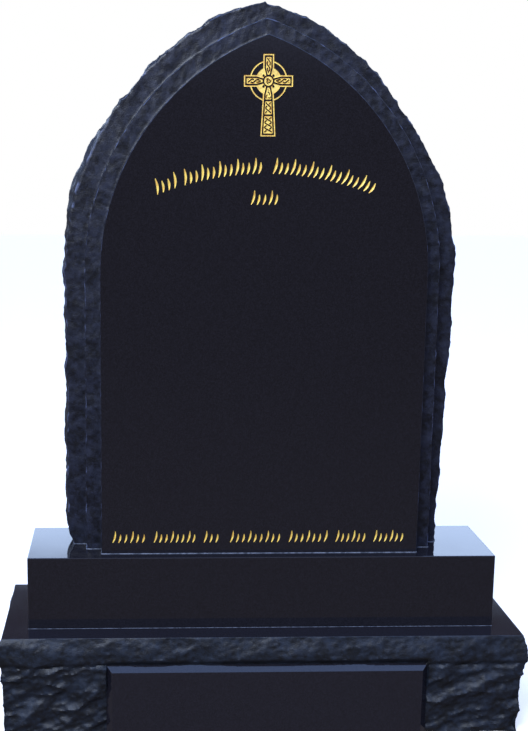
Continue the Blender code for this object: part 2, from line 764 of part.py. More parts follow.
def carve(tablet):
    """Cuts the cross and the three rows of strokes into the face, and lines them with gold."""
    gold = stone("gold_leaf", (0.86, 0.58, 0.20), 0.32, metallic=1.0)
    outlines, paths = cross_panels()
    dots = [disc(DOT_RADIUS, DOT_REACH, turn + math.pi / 4) for turn, _, _ in ARMS]
    kept_lines = [plate(outline, CROSS_DEPTH, KEEP_MARGIN) for outline in [inner_outline()] + dots]
    kept_strands = []
    for width, some in ((STRAND_WIDTH, paths), (TREFOIL_STRAND, trefoil()), (CURL_STRAND, curls())):
        kept_strands += [ribbon(path, width, CROSS_DEPTH, KEEP_MARGIN) for path in some]
    point = disc(TREFOIL_DOT_RADIUS, TREFOIL_DOT, ARMS[3][0])
    kept_strands.append(plate(point, CROSS_DEPTH, KEEP_MARGIN))
    for name, shapes, kept in (
        ("cut_line", [plate(cross_outline(), CROSS_DEPTH)], kept_lines),
        ("cut_ring", ring_shapes(), None),
        ("cut_panels", [plate(outline, CROSS_DEPTH) for outline in outlines], kept_strands),
        ("cut_rows", row_cutters(), None),
    ):
        cutter = add_object(name, *join_shapes(shapes), gold)
        if kept:
            keep = add_object(name.replace("cut", "keep"), *join_shapes(kept), gold)
            combine(cutter, keep, "DIFFERENCE", "MANIFOLD")
        combine(tablet, cutter, "DIFFERENCE", "MANIFOLD")


def main():
    clear_scene()
    make_sub_base()
    make_plinth()
    carve(make_tablet())


main()
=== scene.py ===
# %% [markdown]
# # A lancet headstone in black granite
#
# The real thing is three stones that stand on each other by their own weight: a wide sub-base
# with rock-pitched sides, a polished plinth, and a tablet whose outline is a pointed arch. A
# small Celtic cross and three rows of strokes are blasted into the tablet's polished face and
# gilded.
#
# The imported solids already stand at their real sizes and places. This lesson gives them their
# looks: it works out each stone's surface as arrays of numbers, finishes it with node materials
# and lights it. Everything is in metres, with +Z up and the polished face towards -Y.

import math

import bmesh
import bpy
import numpy as np
from mathutils import Matrix, Vector


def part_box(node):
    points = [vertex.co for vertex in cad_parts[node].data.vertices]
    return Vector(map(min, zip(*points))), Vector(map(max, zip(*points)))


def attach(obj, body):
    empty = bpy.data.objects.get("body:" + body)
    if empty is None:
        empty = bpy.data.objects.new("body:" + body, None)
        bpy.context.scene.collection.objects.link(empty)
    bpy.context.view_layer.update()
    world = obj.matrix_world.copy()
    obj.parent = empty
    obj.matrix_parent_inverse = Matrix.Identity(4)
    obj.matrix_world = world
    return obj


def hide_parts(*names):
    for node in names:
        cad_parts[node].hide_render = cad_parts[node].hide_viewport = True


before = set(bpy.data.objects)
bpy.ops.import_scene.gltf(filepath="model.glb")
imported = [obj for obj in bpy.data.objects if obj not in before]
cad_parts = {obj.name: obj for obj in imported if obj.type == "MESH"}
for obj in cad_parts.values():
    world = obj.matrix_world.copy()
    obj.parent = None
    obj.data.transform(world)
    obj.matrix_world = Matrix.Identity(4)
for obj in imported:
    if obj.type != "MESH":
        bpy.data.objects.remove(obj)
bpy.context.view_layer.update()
tablet_low, tablet_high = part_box("tablet")
plinth_low, plinth_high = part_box("plinth")
base_low, base_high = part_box("sub_base")

# %% [markdown]
# ## The camera
#
# The photograph was taken from a little left of the middle, at about chest height, with the
# camera tilted down. Its place and direction can be guessed by eye, but it is better to solve
# them from the corners of the plinth and the sub-base, whose edges are straight. The numbers
# below come from that fit. The two shifts move the picture inside the lens's circle, as cropping
# a print does.

# %% Camera
PICTURE_TALL = 731
PICTURE_WIDE = 528
FOCAL_PIXELS = 1248.56
AXIS_PIXEL = (165.0, 390.0)
CAMERA_PLACE = (-0.2587, -2.4245, 1.1183)
CAMERA_PITCH = 0.18717
CAMERA_YAW = 0.02914
CAMERA_ROLL = 0.00367


def camera_axes(pitch, yaw, roll):
    """Right, up and backward unit vectors: level axes turned, tipped by pitch, then rolled."""
    flat = math.cos(pitch)
    forward = Vector((math.sin(yaw) * flat, math.cos(yaw) * flat, -math.sin(pitch)))
    level = Vector((math.cos(yaw), -math.sin(yaw), 0.0))
    rising = level.cross(forward)
    right = level * math.cos(roll) + rising * math.sin(roll)
    up = rising * math.cos(roll) - level * math.sin(roll)
    return right, up, -forward


lens = bpy.data.cameras.new("photo_lens")
lens.lens = FOCAL_PIXELS * lens.sensor_width / PICTURE_TALL
lens.shift_x = (PICTURE_WIDE / 2 - AXIS_PIXEL[0]) / PICTURE_TALL
lens.shift_y = (AXIS_PIXEL[1] - PICTURE_TALL / 2) / PICTURE_TALL
camera = bpy.data.objects.new("photo_camera", lens)
turned = Matrix(camera_axes(CAMERA_PITCH, CAMERA_YAW, CAMERA_ROLL)).transposed().to_4x4()
camera.matrix_world = Matrix.Translation(CAMERA_PLACE) @ turned
bpy.context.scene.collection.objects.link(camera)
bpy.context.scene.camera = camera
print("lens", round(lens.lens, 2), "mm, shifts", round(lens.shift_x, 4), round(lens.shift_y, 4))

# %% [markdown]
# ## Shader sums written as Python
#
# A stone's colour and gloss are sums over noise patterns. Wiring each sum by hand in the node
# editor takes many steps. A small class that wraps a node's socket and answers to the signs + -
# and * lets a sum be written as Python, and each sign adds one Math node. A second class holds
# the node tree, and its first method adds any other node.

# %% Helper for node materials
class Wire:
    """A number that runs through a node tree. Arithmetic on it adds Math nodes."""

    def __init__(self, tree, socket):
        self.tree = tree
        self.socket = socket

    def sum_of(self, operation, first, second):
        return self.tree.node("Math", {0: first, 1: second}, operation=operation)

    def __add__(self, other):
        return self.sum_of("ADD", self, other)

    def __sub__(self, other):
        return self.sum_of("SUBTRACT", self, other)

    def __rsub__(self, other):
        return self.sum_of("SUBTRACT", other, self)

    def __mul__(self, other):
        return self.sum_of("MULTIPLY", self, other)

    __radd__ = __add__
    __rmul__ = __mul__

    def between(self, low, high):
        """0 at low and 1 at high, held at those values outside them, with soft ends."""
        sockets = {"Value": self, "From Min": low, "From Max": high}
        return self.tree.node("MapRange", sockets, interpolation_type="SMOOTHSTEP")


class Tree:
    """The node tree of a material or a world."""

    def __init__(self, owner):
        owner.use_nodes = True
        self.nodes = owner.node_tree.nodes
        self.links = owner.node_tree.links
        self.nodes.clear()

    def node(self, kind, sockets=None, output=0, **settings):
        """Adds a node: its settings first, then the value or link of each socket."""
        made = self.nodes.new("ShaderNode" + kind)
        for name, value in settings.items():
            setattr(made, name, value)
        for name, value in (sockets or {}).items():
            if isinstance(value, Wire):
                self.links.new(value.socket, made.inputs[name])
            else:
                made.inputs[name].default_value = value
        return Wire(self, made.outputs[output]) if made.outputs else made

    def mix(self, share, first, second):
        """A colour between two others, each of them linked or three numbers."""
        first, second = (end if isinstance(end, Wire) else (*end, 1.0) for end in (first, second))
        sockets = {0: share, 6: first, 7: second}
        return self.node("Mix", sockets, output=2, data_type="RGBA", clamp_factor=True)

    def noise(self, place, scale, detail=2.0, roughness=0.5):
        sockets = {"Vector": place, "Scale": scale, "Detail": detail, "Roughness": roughness}
        return self.node("TexNoise", sockets)

    def surface(self, sockets):
        """Ends a material's tree with a Principled shader."""
        shader = self.node("BsdfPrincipled", sockets)
        self.node("OutputMaterial", {"Surface": shader})


def new_material(name):
    """A material, its empty tree, and the place on the object that its patterns read."""
    material = bpy.data.materials.new(name)
    tree = Tree(material)
    return material, tree, tree.node("TexCoord", output=3)


print("shader helper ready")

# %% [markdown]
# ## Polished black granite
#
# Polished granite is almost black because its dark crystals take in the light, and its gloss
# comes from the flat polished surface, which mirrors what stands in front of it. So the base
# colour is very dark, the roughness low, and the brightness comes from the reflection. Crystals
# of one or two millimetres differ a little in colour. A plain black would look like plastic from
# close up.

# %% Material: polished granite
GRANITE_IOR = 1.55
CRYSTAL_SCALE = 620.0
CLOUD_SCALE = 7.0
DARK_CRYSTAL = (0.0042, 0.0040, 0.0062)
LIGHT_CRYSTAL = (0.0105, 0.0098, 0.0140)
FLECK = (0.022, 0.023, 0.034)
FLECK_SHARE = 0.30


def polished_granite(name, roughness, tint=1.0):
    """Dark crystals of three tints with a faint cloudiness, under a mirror polish."""
    material, tree, place = new_material(name)
    crystals = tree.node("TexVoronoi", {"Vector": place, "Scale": CRYSTAL_SCALE})
    speckle = tree.noise(place, CRYSTAL_SCALE, 1.0).between(0.35, 0.75)
    cloud = tree.noise(place, CLOUD_SCALE, 3.0).between(0.3, 0.75)
    dark, light = np.multiply(tint, DARK_CRYSTAL), np.multiply(tint, LIGHT_CRYSTAL)
    body = tree.mix(speckle, dark, light)
    flecks = 1 - crystals.between(0.10, 0.22)
    base = tree.mix(flecks * FLECK_SHARE, body, FLECK)
    gloss = roughness + cloud * 0.025 + speckle * 0.012
    tree.surface({"Base Color": base, "Roughness": gloss, "IOR": GRANITE_IOR})
    return material


face_polish = polished_granite("tablet_polish", 0.075)
plinth_polish = polished_granite("plinth_polish", 0.060)
# The sub-base's copy of the same granite is 1.35 times lighter: painted brightness on its polished
# top and panel, standing in for light they do not mirror.
base_polish = polished_granite("sub_base_polish", 0.060, tint=1.35)
print("polished granite: IOR", GRANITE_IOR, "crystals", round(1000 / CRYSTAL_SCALE, 2), "mm")

# %% [markdown]
# ## Pitched granite
#
# Where the stone is struck off with a pitching tool, the crystals break and scatter light, so the
# same granite looks lighter and duller. Edges that the tool has bruised turn pale, and the back
# is only sawn. The broad flakes are in the mesh. The grain, finer than the mesh, is a bump of two
# noises. Small glossy crystal specks are painted much paler still: painted glints. A `bruise`
# value at each point of the mesh says where an arris was struck, and the material turns paler and
# rougher there.

# %% Material: pitched granite
BROKEN_IOR = 1.42
# How much paler than the mottle the painted glints on the crystal specks are.
PAINTED_GLINT_BRIGHTER = 3.2
GRAIN_SCALE = 420.0
CHIP_SCALE = 110.0
PATCH_SCALE = 48.0


def pitched_granite(name, body, pale, bruised, roughness, grain):
    """Broken granite: mottled body colour, glossy specks with painted glints, and bruised arrises.
    """
    material, tree, place = new_material(name)
    bruise = tree.node("Attribute", output=2, attribute_name="bruise")
    fine = tree.noise(place, GRAIN_SCALE, 3.0, 0.6)
    chips = tree.noise(place, CHIP_SCALE, 4.0, 0.6)
    patches = tree.noise(place, PATCH_SCALE, 3.0, 0.6)
    mottle = patches.between(0.38, 0.68) * 0.6 + chips.between(0.40, 0.70) * 0.4
    base = tree.mix(mottle, body, pale)
    # Glossy crystal specks. Their colour, 3.2 times paler than the mottle, is a painted glint.
    glossy_specks_painted_glint = fine.between(0.60, 0.72) * 0.35
    base = tree.mix(glossy_specks_painted_glint, base, np.multiply(PAINTED_GLINT_BRIGHTER, pale))
    struck = (bruise * (0.55 + fine * 0.9)).between(0.18, 0.85)
    base = tree.mix(struck, base, bruised)
    height = fine * 0.4 + chips * 0.6
    normal = tree.node("Bump", {"Distance": grain, "Height": height})
    gloss = roughness + mottle * 0.1 - glossy_specks_painted_glint * 0.3
    tree.surface({"Base Color": base, "Roughness": gloss, "IOR": BROKEN_IOR, "Normal": normal})
    return material


STONES = (
    ("tablet_tiers",
     (0.0022, 0.0027, 0.0052), (0.0145, 0.0180, 0.0350), (0.12, 0.15, 0.27), 0.38, 0.0009),
    ("tablet_pitched_edge",
     (0.004, 0.0048, 0.0075), (0.018, 0.022, 0.034), (0.24, 0.27, 0.38), 0.42, 0.0012),
    ("sub_base_rock",
     (0.0038, 0.0046, 0.0060), (0.0130, 0.0200, 0.0340), (0.05, 0.07, 0.11), 0.45, 0.0013),
    ("tablet_sawn_back",
     (0.011, 0.012, 0.015), (0.022, 0.024, 0.030), (0.05, 0.05, 0.06), 0.55, 0.0003),
)
tier_stone, edge_stone, rock_stone, sawn_stone = (pitched_granite(*stone) for stone in STONES)
print("pitched granite:", len(STONES), "kinds, chips of", round(1000 / CHIP_SCALE, 1), "mm")

# %% [markdown]
# ## Gold leaf
#
# Gold leaf is beaten so thin that it follows each grain of the blasted stone below it. It is a
# metal, so its colour lies in its reflection. Small wrinkles spread that reflection, and the laps
# between leaves are a little browner.

# %% Material: gold leaf
LAP_SCALE = 160.0
LEAF_SCALE = 900.0


def gold_leaf(name, bright, worn):
    """Metallic gold with browner laps and the grain of the stone under it."""
    material, tree, place = new_material(name)
    laps = tree.noise(place, LAP_SCALE, 3.0, 0.6).between(0.38, 0.70)
    grain = tree.noise(place, LEAF_SCALE, 2.0, 0.6)
    base = tree.mix(laps * 0.7, bright, worn)
    normal = tree.node("Bump", {"Strength": 0.6, "Distance": 0.0003, "Height": grain})
    metal, gloss = 0.30 + laps * 0.2, 0.34 + grain * 0.16
    tree.surface({"Base Color": base, "Metallic": metal, "Roughness": gloss, "Normal": normal})
    return material


gold = gold_leaf("gold_leaf", (1.0, 0.78, 0.20), (0.80, 0.47, 0.12))
print("gold leaf ready")

# %% [markdown]
# ## Broken stone as a formula
#
# A pitching tool knocks the stone away in shallow bowls that meet in ridges. Sculpting each bowl
# by hand would be slow and could not be changed later. Instead, a slanting grid holds one bowl
# per cell, each with its own place, depth and tilt, and the surface is the lowest bowl at each
# point. The same formula at two or three sizes gives broad scars with finer chips on them.
# Everything runs on whole arrays at once.

# %% Flakes
SCATTER_TURNS = (127.1, 311.7, 74.7)
SCATTER_SCALE = 43758.5453
FLAKE_LEAN = 0.6
FLAKE_STRETCH = 1.7
FLAKE_FLOOR = 0.5
FLAKE_TILT = 0.6
FLAKE_MEAN = 0.45
TINY = 1e-6


def scatter(column, row, seed):
    """A repeatable number from 0 to 1 for each cell: the fraction of a large sine."""
    turn = column * SCATTER_TURNS[0] + row * SCATTER_TURNS[1] + seed * SCATTER_TURNS[2]
    value = np.sin(turn) * SCATTER_SCALE
    return value - np.floor(value)


def flakes(along, across, size, seed):
    """Height of broken stone, about 0 to 1: the least squared distance to the nearest bowls."""
    p = (along * math.cos(FLAKE_LEAN) + across * math.sin(FLAKE_LEAN)) / (size * FLAKE_STRETCH)
    q = (across * math.cos(FLAKE_LEAN) - along * math.sin(FLAKE_LEAN)) / size
    column, row = np.floor(p), np.floor(q)
    lowest = np.full(np.shape(p), np.inf)
    for right in (-1, 0, 1):
        for up in (-1, 0, 1):
            i, j = column + right, row + up
            dp = p - i - scatter(i, j, seed)
            dq = q - j - scatter(i, j, seed + 1)
            tilt = (scatter(i, j, seed + 2) - 0.5) * dp + (scatter(i, j, seed + 3) - 0.5) * dq
            bowl = FLAKE_FLOOR * scatter(i, j, seed + 4) + dp * dp + dq * dq + FLAKE_TILT * tilt
            lowest = np.minimum(lowest, bowl)
    return lowest


def relief(along, across, layers):
    """Sum of several layers of flakes, each (size, depth, seed), about 0 on average."""
    return sum(
        depth * (flakes(along, across, size, seed) - FLAKE_MEAN) for size, depth, seed in layers
    )


def hump(value, middle, half_length):
    """1 at the middle, falling smoothly to almost 0 at twice the half length from it."""
    return np.exp(-(((value - middle) / half_length) ** 2))


sample = flakes(np.linspace(0, 1, 400)[:, None], np.linspace(0, 1, 400)[None, :], 0.05, 3)
print("flakes from", round(float(sample.min()), 2), "to", round(float(sample.max()), 2))

# %% [markdown]
# ## From arrays to meshes
#
# Each surface below is a grid of points. The grid's rows and columns give the quads, so no face
# is written by hand. Large flat faces, such as the polished front, stay one polygon each.

# %% Mesh helpers
SHARP_ANGLE = math.radians(32)
ROCK_SHARP_ANGLE = math.radians(38)


def quads(index):
    """The four corner numbers of each cell of a grid of point numbers, for all cells at once."""
    corners = (index[:-1, :-1], index[:-1, 1:], index[1:, 1:], index[1:, :-1])
    return np.stack(corners, axis=-1).reshape(-1, 4)


def unit(rows):
    """Each row scaled to length one."""
    return rows / np.maximum(np.linalg.norm(rows, axis=1), TINY)[:, None]


def tube(rings):
    """Points and faces of a solid through rings of points, closed by a face at each end."""
    rings = np.asarray(rings, float)
    index = np.arange(rings.shape[0] * rings.shape[1]).reshape(rings.shape[:2])
    wrapped = np.column_stack([index, index[:, :1]])
    faces = quads(wrapped).tolist() + [index[0].tolist(), index[-1].tolist()]
    return rings.reshape(-1, 3), faces


def join_shapes(shapes):
    """Several closed shapes as one list of points and one of faces."""
    points, faces, count = [], [], 0
    for shape_points, shape_faces in shapes:
        points.append(shape_points)
        faces += [[count + corner for corner in face] for face in shape_faces]
        count += len(shape_points)
    return np.concatenate(points), faces


def add_mesh(name, points, faces, materials, slots=None, bruise=None):
    """A mesh object with outward normals, a material number per face and a bruise per point."""
    mesh = bpy.data.meshes.new(name)
    mesh.from_pydata(np.asarray(points, float), [], faces)
    for material in materials:
        mesh.materials.append(material)
    if slots is not None:
        mesh.polygons.foreach_set("material_index", np.asarray(slots, np.int32))
    if bruise is not None:
        layer = mesh.attributes.new("bruise", "FLOAT", "POINT")
        layer.data.foreach_set("value", np.asarray(bruise, np.float32).ravel())
    made = bpy.data.objects.new(name, mesh)
    bpy.context.scene.collection.objects.link(made)
    work = bmesh.new()
    work.from_mesh(mesh)
    bmesh.ops.recalc_face_normals(work, faces=work.faces)
    work.to_mesh(mesh)
    work.free()
    return made


def shade(piece, plane, angle=SHARP_ANGLE):
    """Smooth shading that keeps sharp edges crisp and faces of the plane materials flat."""
    piece.data.shade_smooth()
    piece.data.set_sharp_from_angle(angle=angle)
    faces = piece.data.polygons
    slots = np.zeros(len(faces), np.int32)
    faces.foreach_get("material_index", slots)
    flat = [number for number, material in enumerate(piece.data.materials) if material in plane]
    faces.foreach_set("use_smooth", ~np.isin(slots, flat))


def combine(target, cutter, operation="DIFFERENCE"):
    """Cuts or joins with a Boolean, applies it, and lets each new face keep its own material."""
    step = target.modifiers.new(cutter.name, "BOOLEAN")
    step.operation = operation
    step.object = cutter
    step.solver = "MANIFOLD"
    step.material_mode = "TRANSFER"
    bpy.context.view_layer.update()
    graph = bpy.context.evaluated_depsgraph_get()
    result = bpy.data.meshes.new_from_object(target.evaluated_get(graph))
    target.modifiers.remove(step)
    target.data = result
    bpy.data.objects.remove(cutter)


def count_triangles(piece):
    piece.data.calc_loop_triangles()
    return len(piece.data.loop_triangles)


print("edges sharper than", round(math.degrees(SHARP_ANGLE)), "degrees stay crisp")

# %% [markdown]
# ## The tablet's outline
#
# A lancet is two straight sides and two arcs that meet in a point. Each arc's centre lies on the
# springing line, beyond the middle of the stone, and every tier is the same outline standing
# further out round the same centres. One number, the station, runs from the left foot over the
# apex to the right foot, so a single formula gives any place on any tier.

# %% Outline of the tablet
OFF_CENTRE = -0.0035
FACE_HALF = 0.310
SPRING_HEIGHT = 0.546
ARC_INSET = 0.156
MID_BAND = 0.030
OUTER_BAND = 0.037
FACE_STEP = 0.032
MID_STEP = 0.034
STATION_SPACING = 0.0032

FACE_Y = tablet_low.y
BACK_Y = tablet_high.y
MID_Y = FACE_Y + FACE_STEP
OUTER_Y = MID_Y + MID_STEP
TABLET_FOOT = tablet_low.z
FULL_BAND = MID_BAND + OUTER_BAND
ARC_RADIUS = FACE_HALF + ARC_INSET
APEX_HEIGHT = SPRING_HEIGHT + math.sqrt(ARC_RADIUS**2 - ARC_INSET**2)


def lancet(station, offset):
    """x and height of the outline: straight below the springing, then an arc about a far centre."""
    side, turn = np.sign(station), np.abs(station)
    radius = ARC_RADIUS + offset
    angle = np.clip(1 - turn, 0, 1) * np.arccos(ARC_INSET / radius)
    x = side * (radius * np.cos(angle) - ARC_INSET)
    height = SPRING_HEIGHT * np.clip(2 - turn, 0, 1) + radius * np.sin(angle)
    return x, height


def outline_stations(spacing):
    """Stations from -2 at the left foot to 2 at the right, and their distance from the apex."""
    outside = ARC_RADIUS + FULL_BAND
    arc = outside * math.acos(ARC_INSET / outside)
    straight = np.linspace(-2, -1, round(SPRING_HEIGHT / spacing), endpoint=False)
    rising = np.concatenate([straight, np.linspace(-1, 0, round(arc / spacing), endpoint=False)])
    station = np.concatenate([rising, [0], -rising[::-1]])
    turn = np.abs(station)
    run = np.sign(station) * (np.minimum(turn, 1) * arc + np.maximum(turn - 1, 0) * SPRING_HEIGHT)
    return station, run


station, station_run = outline_stations(STATION_SPACING)
print(len(station), "stations, apex of the face", round(APEX_HEIGHT, 4), "above the tablet's foot")

# %% [markdown]
# ## The tablet's profile
#
# Across the outline the stone steps back twice, then turns into the rough edge and ends at the
# sawn back. The profile is a short list of corners with small chamfers at the arrises and hollows
# at the feet of the steps, as a grinding wheel leaves them. It is divided evenly and carried
# round the outline, and flakes push each point along the profile's own normal.

# %% Profile across the tablet
CHAMFER = 0.0010
ARRIS = 0.0011
BACK_ARRIS = 0.0030
HOLLOW = 0.0016
GUARD = 0.0012
ROW_SPACING = 0.0036

PROFILE = (
    (-CHAMFER, FACE_Y, 0.20),
    (0.0, FACE_Y + CHAMFER, 0.40),
    (0.0, FACE_Y + CHAMFER + GUARD, 0.0),
    (0.0, MID_Y - HOLLOW, 0.0),
    (0.3 * HOLLOW, MID_Y - 0.3 * HOLLOW, 0.0),
    (HOLLOW, MID_Y, 0.0),
    (MID_BAND - ARRIS - GUARD, MID_Y, 0.08),
    (MID_BAND - ARRIS, MID_Y, 0.35),
    (MID_BAND, MID_Y + ARRIS, 0.45),
    (MID_BAND, MID_Y + ARRIS + GUARD, 0.0),
    (MID_BAND, OUTER_Y - HOLLOW, 0.0),
    (MID_BAND + 0.3 * HOLLOW, OUTER_Y - 0.3 * HOLLOW, 0.0),
    (MID_BAND + HOLLOW, OUTER_Y, 0.0),
    (FULL_BAND - ARRIS - 2 * GUARD, OUTER_Y, 0.10),
    (FULL_BAND - ARRIS, OUTER_Y, 0.30),
    (FULL_BAND, OUTER_Y + ARRIS, 0.45),
    (FULL_BAND, OUTER_Y + ARRIS + 3 * GUARD, 0.15),
    (FULL_BAND, BACK_Y - BACK_ARRIS - GUARD, 0.1),
    (FULL_BAND, BACK_Y - BACK_ARRIS, 0.5),
    (FULL_BAND - BACK_ARRIS, BACK_Y, 0.0),
)


def divided(corners, spacing):
    """The corners with evenly spaced points between them, as many as each stretch needs."""
    corners = np.array(corners)
    steps = np.hypot(*np.diff(corners[:, :2], axis=0).T)
    counts = np.maximum(1, np.round(steps / spacing)).astype(int)
    places = [np.arange(count) / count + number for number, count in enumerate(counts)]
    places = np.concatenate(places + [[len(counts)]])
    number = np.arange(len(corners))
    return np.column_stack([np.interp(places, number, corners[:, k]) for k in range(3)])


profile = divided(PROFILE, ROW_SPACING)
profile_run = np.concatenate([[0], np.cumsum(np.hypot(*np.diff(profile[:, :2], axis=0).T))])
ahead = unit(np.gradient(profile[:, :2], axis=0))
profile_normal = np.column_stack([ahead[:, 1], -ahead[:, 0]])
print(len(profile), "rows across the tablet,", round(1000 * profile_run[-1]), "mm of stone")

# %% Surface of the tablet
EDGE_BELLY = 0.004
LEFT_SHOULDER = (0.710, 0.090, 0.009)
RIGHT_SHOULDER = (0.870, 0.150, 0.013)
APEX_CUT = (0.045, 0.006)
RIGHT_FOOT_LEAN = 0.018
LEFT_FOOT_CHIP = (0.017, 0.009)
WAVE_LAYERS = ((0.019, 0.0016, 23),)
SCAR_LAYERS = ((0.048, 0.0075, 11),)
ARRIS_LAYERS = ((0.021, 0.0040, 12), (0.0085, 0.0020, 14))
EDGE_LAYERS = ((0.022, 0.0042, 41), (0.009, 0.0020, 43))
TIER_LAYERS = ((0.026, 0.0012, 31), (0.011, 0.0009, 33), (0.0050, 0.0005, 37))
BRUISE_SIZE = 0.013
BRUISE_STRETCH = 3
BRUISE_GAIN = 2.6
BRUISE_FLOOR = 0.55
BRUISE_MOST = 1.3


def arris_offset(station, run):
    """How far the front arris of the rough edge stands from the outline: flakes less four cuts."""
    height = lancet(station, FULL_BAND)[1]
    middle, half, cut = RIGHT_SHOULDER
    total = cut * hump(height, middle, half) * (station > 0)
    total = total + APEX_CUT[1] * hump(run, 0, APEX_CUT[0])
    total = total + RIGHT_FOOT_LEAN * np.clip(station - 1, 0, 1)
    total = total + LEFT_FOOT_CHIP[1] * hump(height, 0, LEFT_FOOT_CHIP[0]) * (station < 0)
    chips = relief(run, 0.0, ARRIS_LAYERS) * (1 - hump(run, 0, APEX_CUT[0] / 2))
    return relief(run, 0.0, SCAR_LAYERS) / 2 + chips - total


def rough_edge(station, run, depth):
    """Offset of the pitched edge behind its arris: the root of half a sine, with flakes on it."""
    height = lancet(station, FULL_BAND)[1]
    middle, half, swell = LEFT_SHOULDER
    belly = EDGE_BELLY + swell * hump(height, middle, half) * (station < 0)
    across = np.sin(math.pi * np.clip(depth / (BACK_Y - OUTER_Y), 0, 1))
    broad = relief(run, depth, SCAR_LAYERS)
    fine = relief(run, depth, EDGE_LAYERS) * np.minimum(across * 4, 1)
    return arris_offset(station, run) + belly * np.sqrt(across) + broad * across + fine


def tablet_surface():
    """Points and bruise of every row and station: the profile carried round the outline.

    The wave moves the middle arris both ways and fades across its tier. The outer tier stretches to
    meet the rough edge's arris, and flakes push the tiers along the profile's normal.
    """
    across, run, turn = profile_run[:, None], station_run[None, :], station[None, :]
    offset, y, bruise = (profile[:, [k]] + 0 * run for k in range(3))
    tier = relief(run, across, TIER_LAYERS) * (offset > TINY) * (y < OUTER_Y + TINY)
    wave = relief(station_run, 0.0, WAVE_LAYERS)
    tier_share = np.clip(offset / MID_BAND, 0, 1)
    on_mid = (y < MID_Y + ARRIS + TINY) * tier_share
    on_return = (np.abs(offset - MID_BAND) < TINY) * 1.0
    depth = y - OUTER_Y
    edge = np.where(depth > 0, rough_edge(turn, run, np.maximum(depth, 0)), arris_offset(turn, run))
    outer_share = np.clip((offset - MID_BAND) / OUTER_BAND, 0, 1)
    moved = offset + wave * np.maximum(on_mid, on_return) + edge * outer_share
    moved = moved + tier * profile_normal[:, [0]]
    y = y + wave * on_mid * (y < MID_Y + TINY) + tier * profile_normal[:, [1]]
    x, height = lancet(turn, moved)
    blows = flakes(run, BRUISE_STRETCH * across, BRUISE_SIZE, 51)
    struck = np.clip(BRUISE_GAIN * blows - BRUISE_FLOOR, 0, BRUISE_MOST)
    placed = np.stack([OFF_CENTRE + x, y, TABLET_FOOT + height], axis=-1)
    return np.clip(placed, tablet_low, tablet_high), bruise * struck


points, bruise = tablet_surface()
rows, columns = bruise.shape
index = np.arange(rows * columns).reshape(rows, columns)
foot = index[:, 0].tolist() + index[::-1, -1].tolist()
skin = quads(index)
row_of_face = np.repeat(np.arange(rows - 1), columns - 1)
on_edge = profile[:-1, 1][row_of_face] > OUTER_Y + TINY
faces = skin.tolist() + [index[0].tolist(), index[-1].tolist(), foot]
slots = np.concatenate([np.where(on_edge, 2, 1), [0, 4, 1]])
tablet = add_mesh(
    "granite_tablet",
    points.reshape(-1, 3),
    faces,
    [face_polish, tier_stone, edge_stone, gold, sawn_stone],
    slots,
    bruise,
)
print("tablet before carving:", count_triangles(tablet), "triangles")

# %% [markdown]
# ## The carving
#
# The cross and the strokes are blasted through a stencil: flat-bottomed recesses for the cross,
# V-cut strokes for the rows. A picture of a cross on the face would look flat at an angle. Real
# recesses catch light on their walls, so each shape is made as a solid and cut out with a
# Boolean, which also hands the cut faces their gold. Dark lines inside the cross are stone left
# standing: they are taken out of the cutter first.

# %% Cutters for the carving
CUT_CLEAR = 0.004
KEEP_MARGIN = 0.001
CROSS_DEPTH = 0.0012
RING_DEPTH = 0.0010
CROSS_DROP = 0.083
CROSS_SQUEEZE = 0.953
CROSS_SHIFT = 0.0005
CROSS_LEAN = 0.007
BOSS_HEIGHT = APEX_HEIGHT - CROSS_DROP
CURVE_STEPS = 14
CORNER_STEPS = 5


def on_face(x, height, sink):
    """Points on the polished plane, sunk into the stone, measured from the tablet's foot."""
    x, height, sink = np.broadcast_arrays(x, height, sink)
    return np.stack([OFF_CENTRE + x, FACE_Y + sink, TABLET_FOOT + height], axis=-1)


def cross_place(points):
    """x and height of points given from the middle of the boss: squeezed, shifted and leant."""
    points = np.asarray(points, float)
    x = CROSS_SHIFT + CROSS_SQUEEZE * points[:, 0] - CROSS_LEAN * points[:, 1]
    return x, BOSS_HEIGHT + points[:, 1]


def plate(outline, depth, margin=0.0):
    """A flat-bottomed solid of a closed outline, from in front of the face to a depth below it."""
    x, height = cross_place(outline)
    return tube([on_face(x, height, -CUT_CLEAR - margin), on_face(x, height, depth + margin)])


def band(first, second, depth, margin=0.0):
    """A flat-bottomed solid between two open lines with as many points each."""
    top, bottom = -CUT_CLEAR - margin, depth + margin
    rings = []
    for line, sink in ((first, top), (second, top), (second, bottom), (first, bottom)):
        rings.append(on_face(*cross_place(line), sink))
    return tube(np.stack(rings, axis=1))


def ribbon(path, width, depth, margin=0.0):
    """A flat-bottomed solid of one width: an open path moved half a width each way."""
    ahead = unit(np.gradient(path, axis=0))
    across = np.column_stack([-ahead[:, 1], ahead[:, 0]]) * width / 2
    return band(path + across, path - across, depth, margin)


def arc_points(radius, start, end, count, centre=(0.0, 0.0)):
    """Points on a circle between two angles in radians."""
    angle = np.linspace(start, end, count)
    return np.column_stack([centre[0] + radius * np.cos(angle), centre[1] + radius * np.sin(angle)])


def disc(radius, reach, turn):
    """The outline of a small round place at a distance from the boss."""
    centre = (reach * math.cos(turn), reach * math.sin(turn))
    count = 2 * CURVE_STEPS
    return arc_points(radius, 0, 2 * math.pi * (1 - 1 / count), count, centre)


def laid(turn, reach, side):
    """An arm's own distances along and across it, turned into the plane of the cross."""
    along = np.array([math.cos(turn), math.sin(turn)])
    across = np.array([-along[1], along[0]])
    return np.outer(reach, along) + np.outer(side, across)


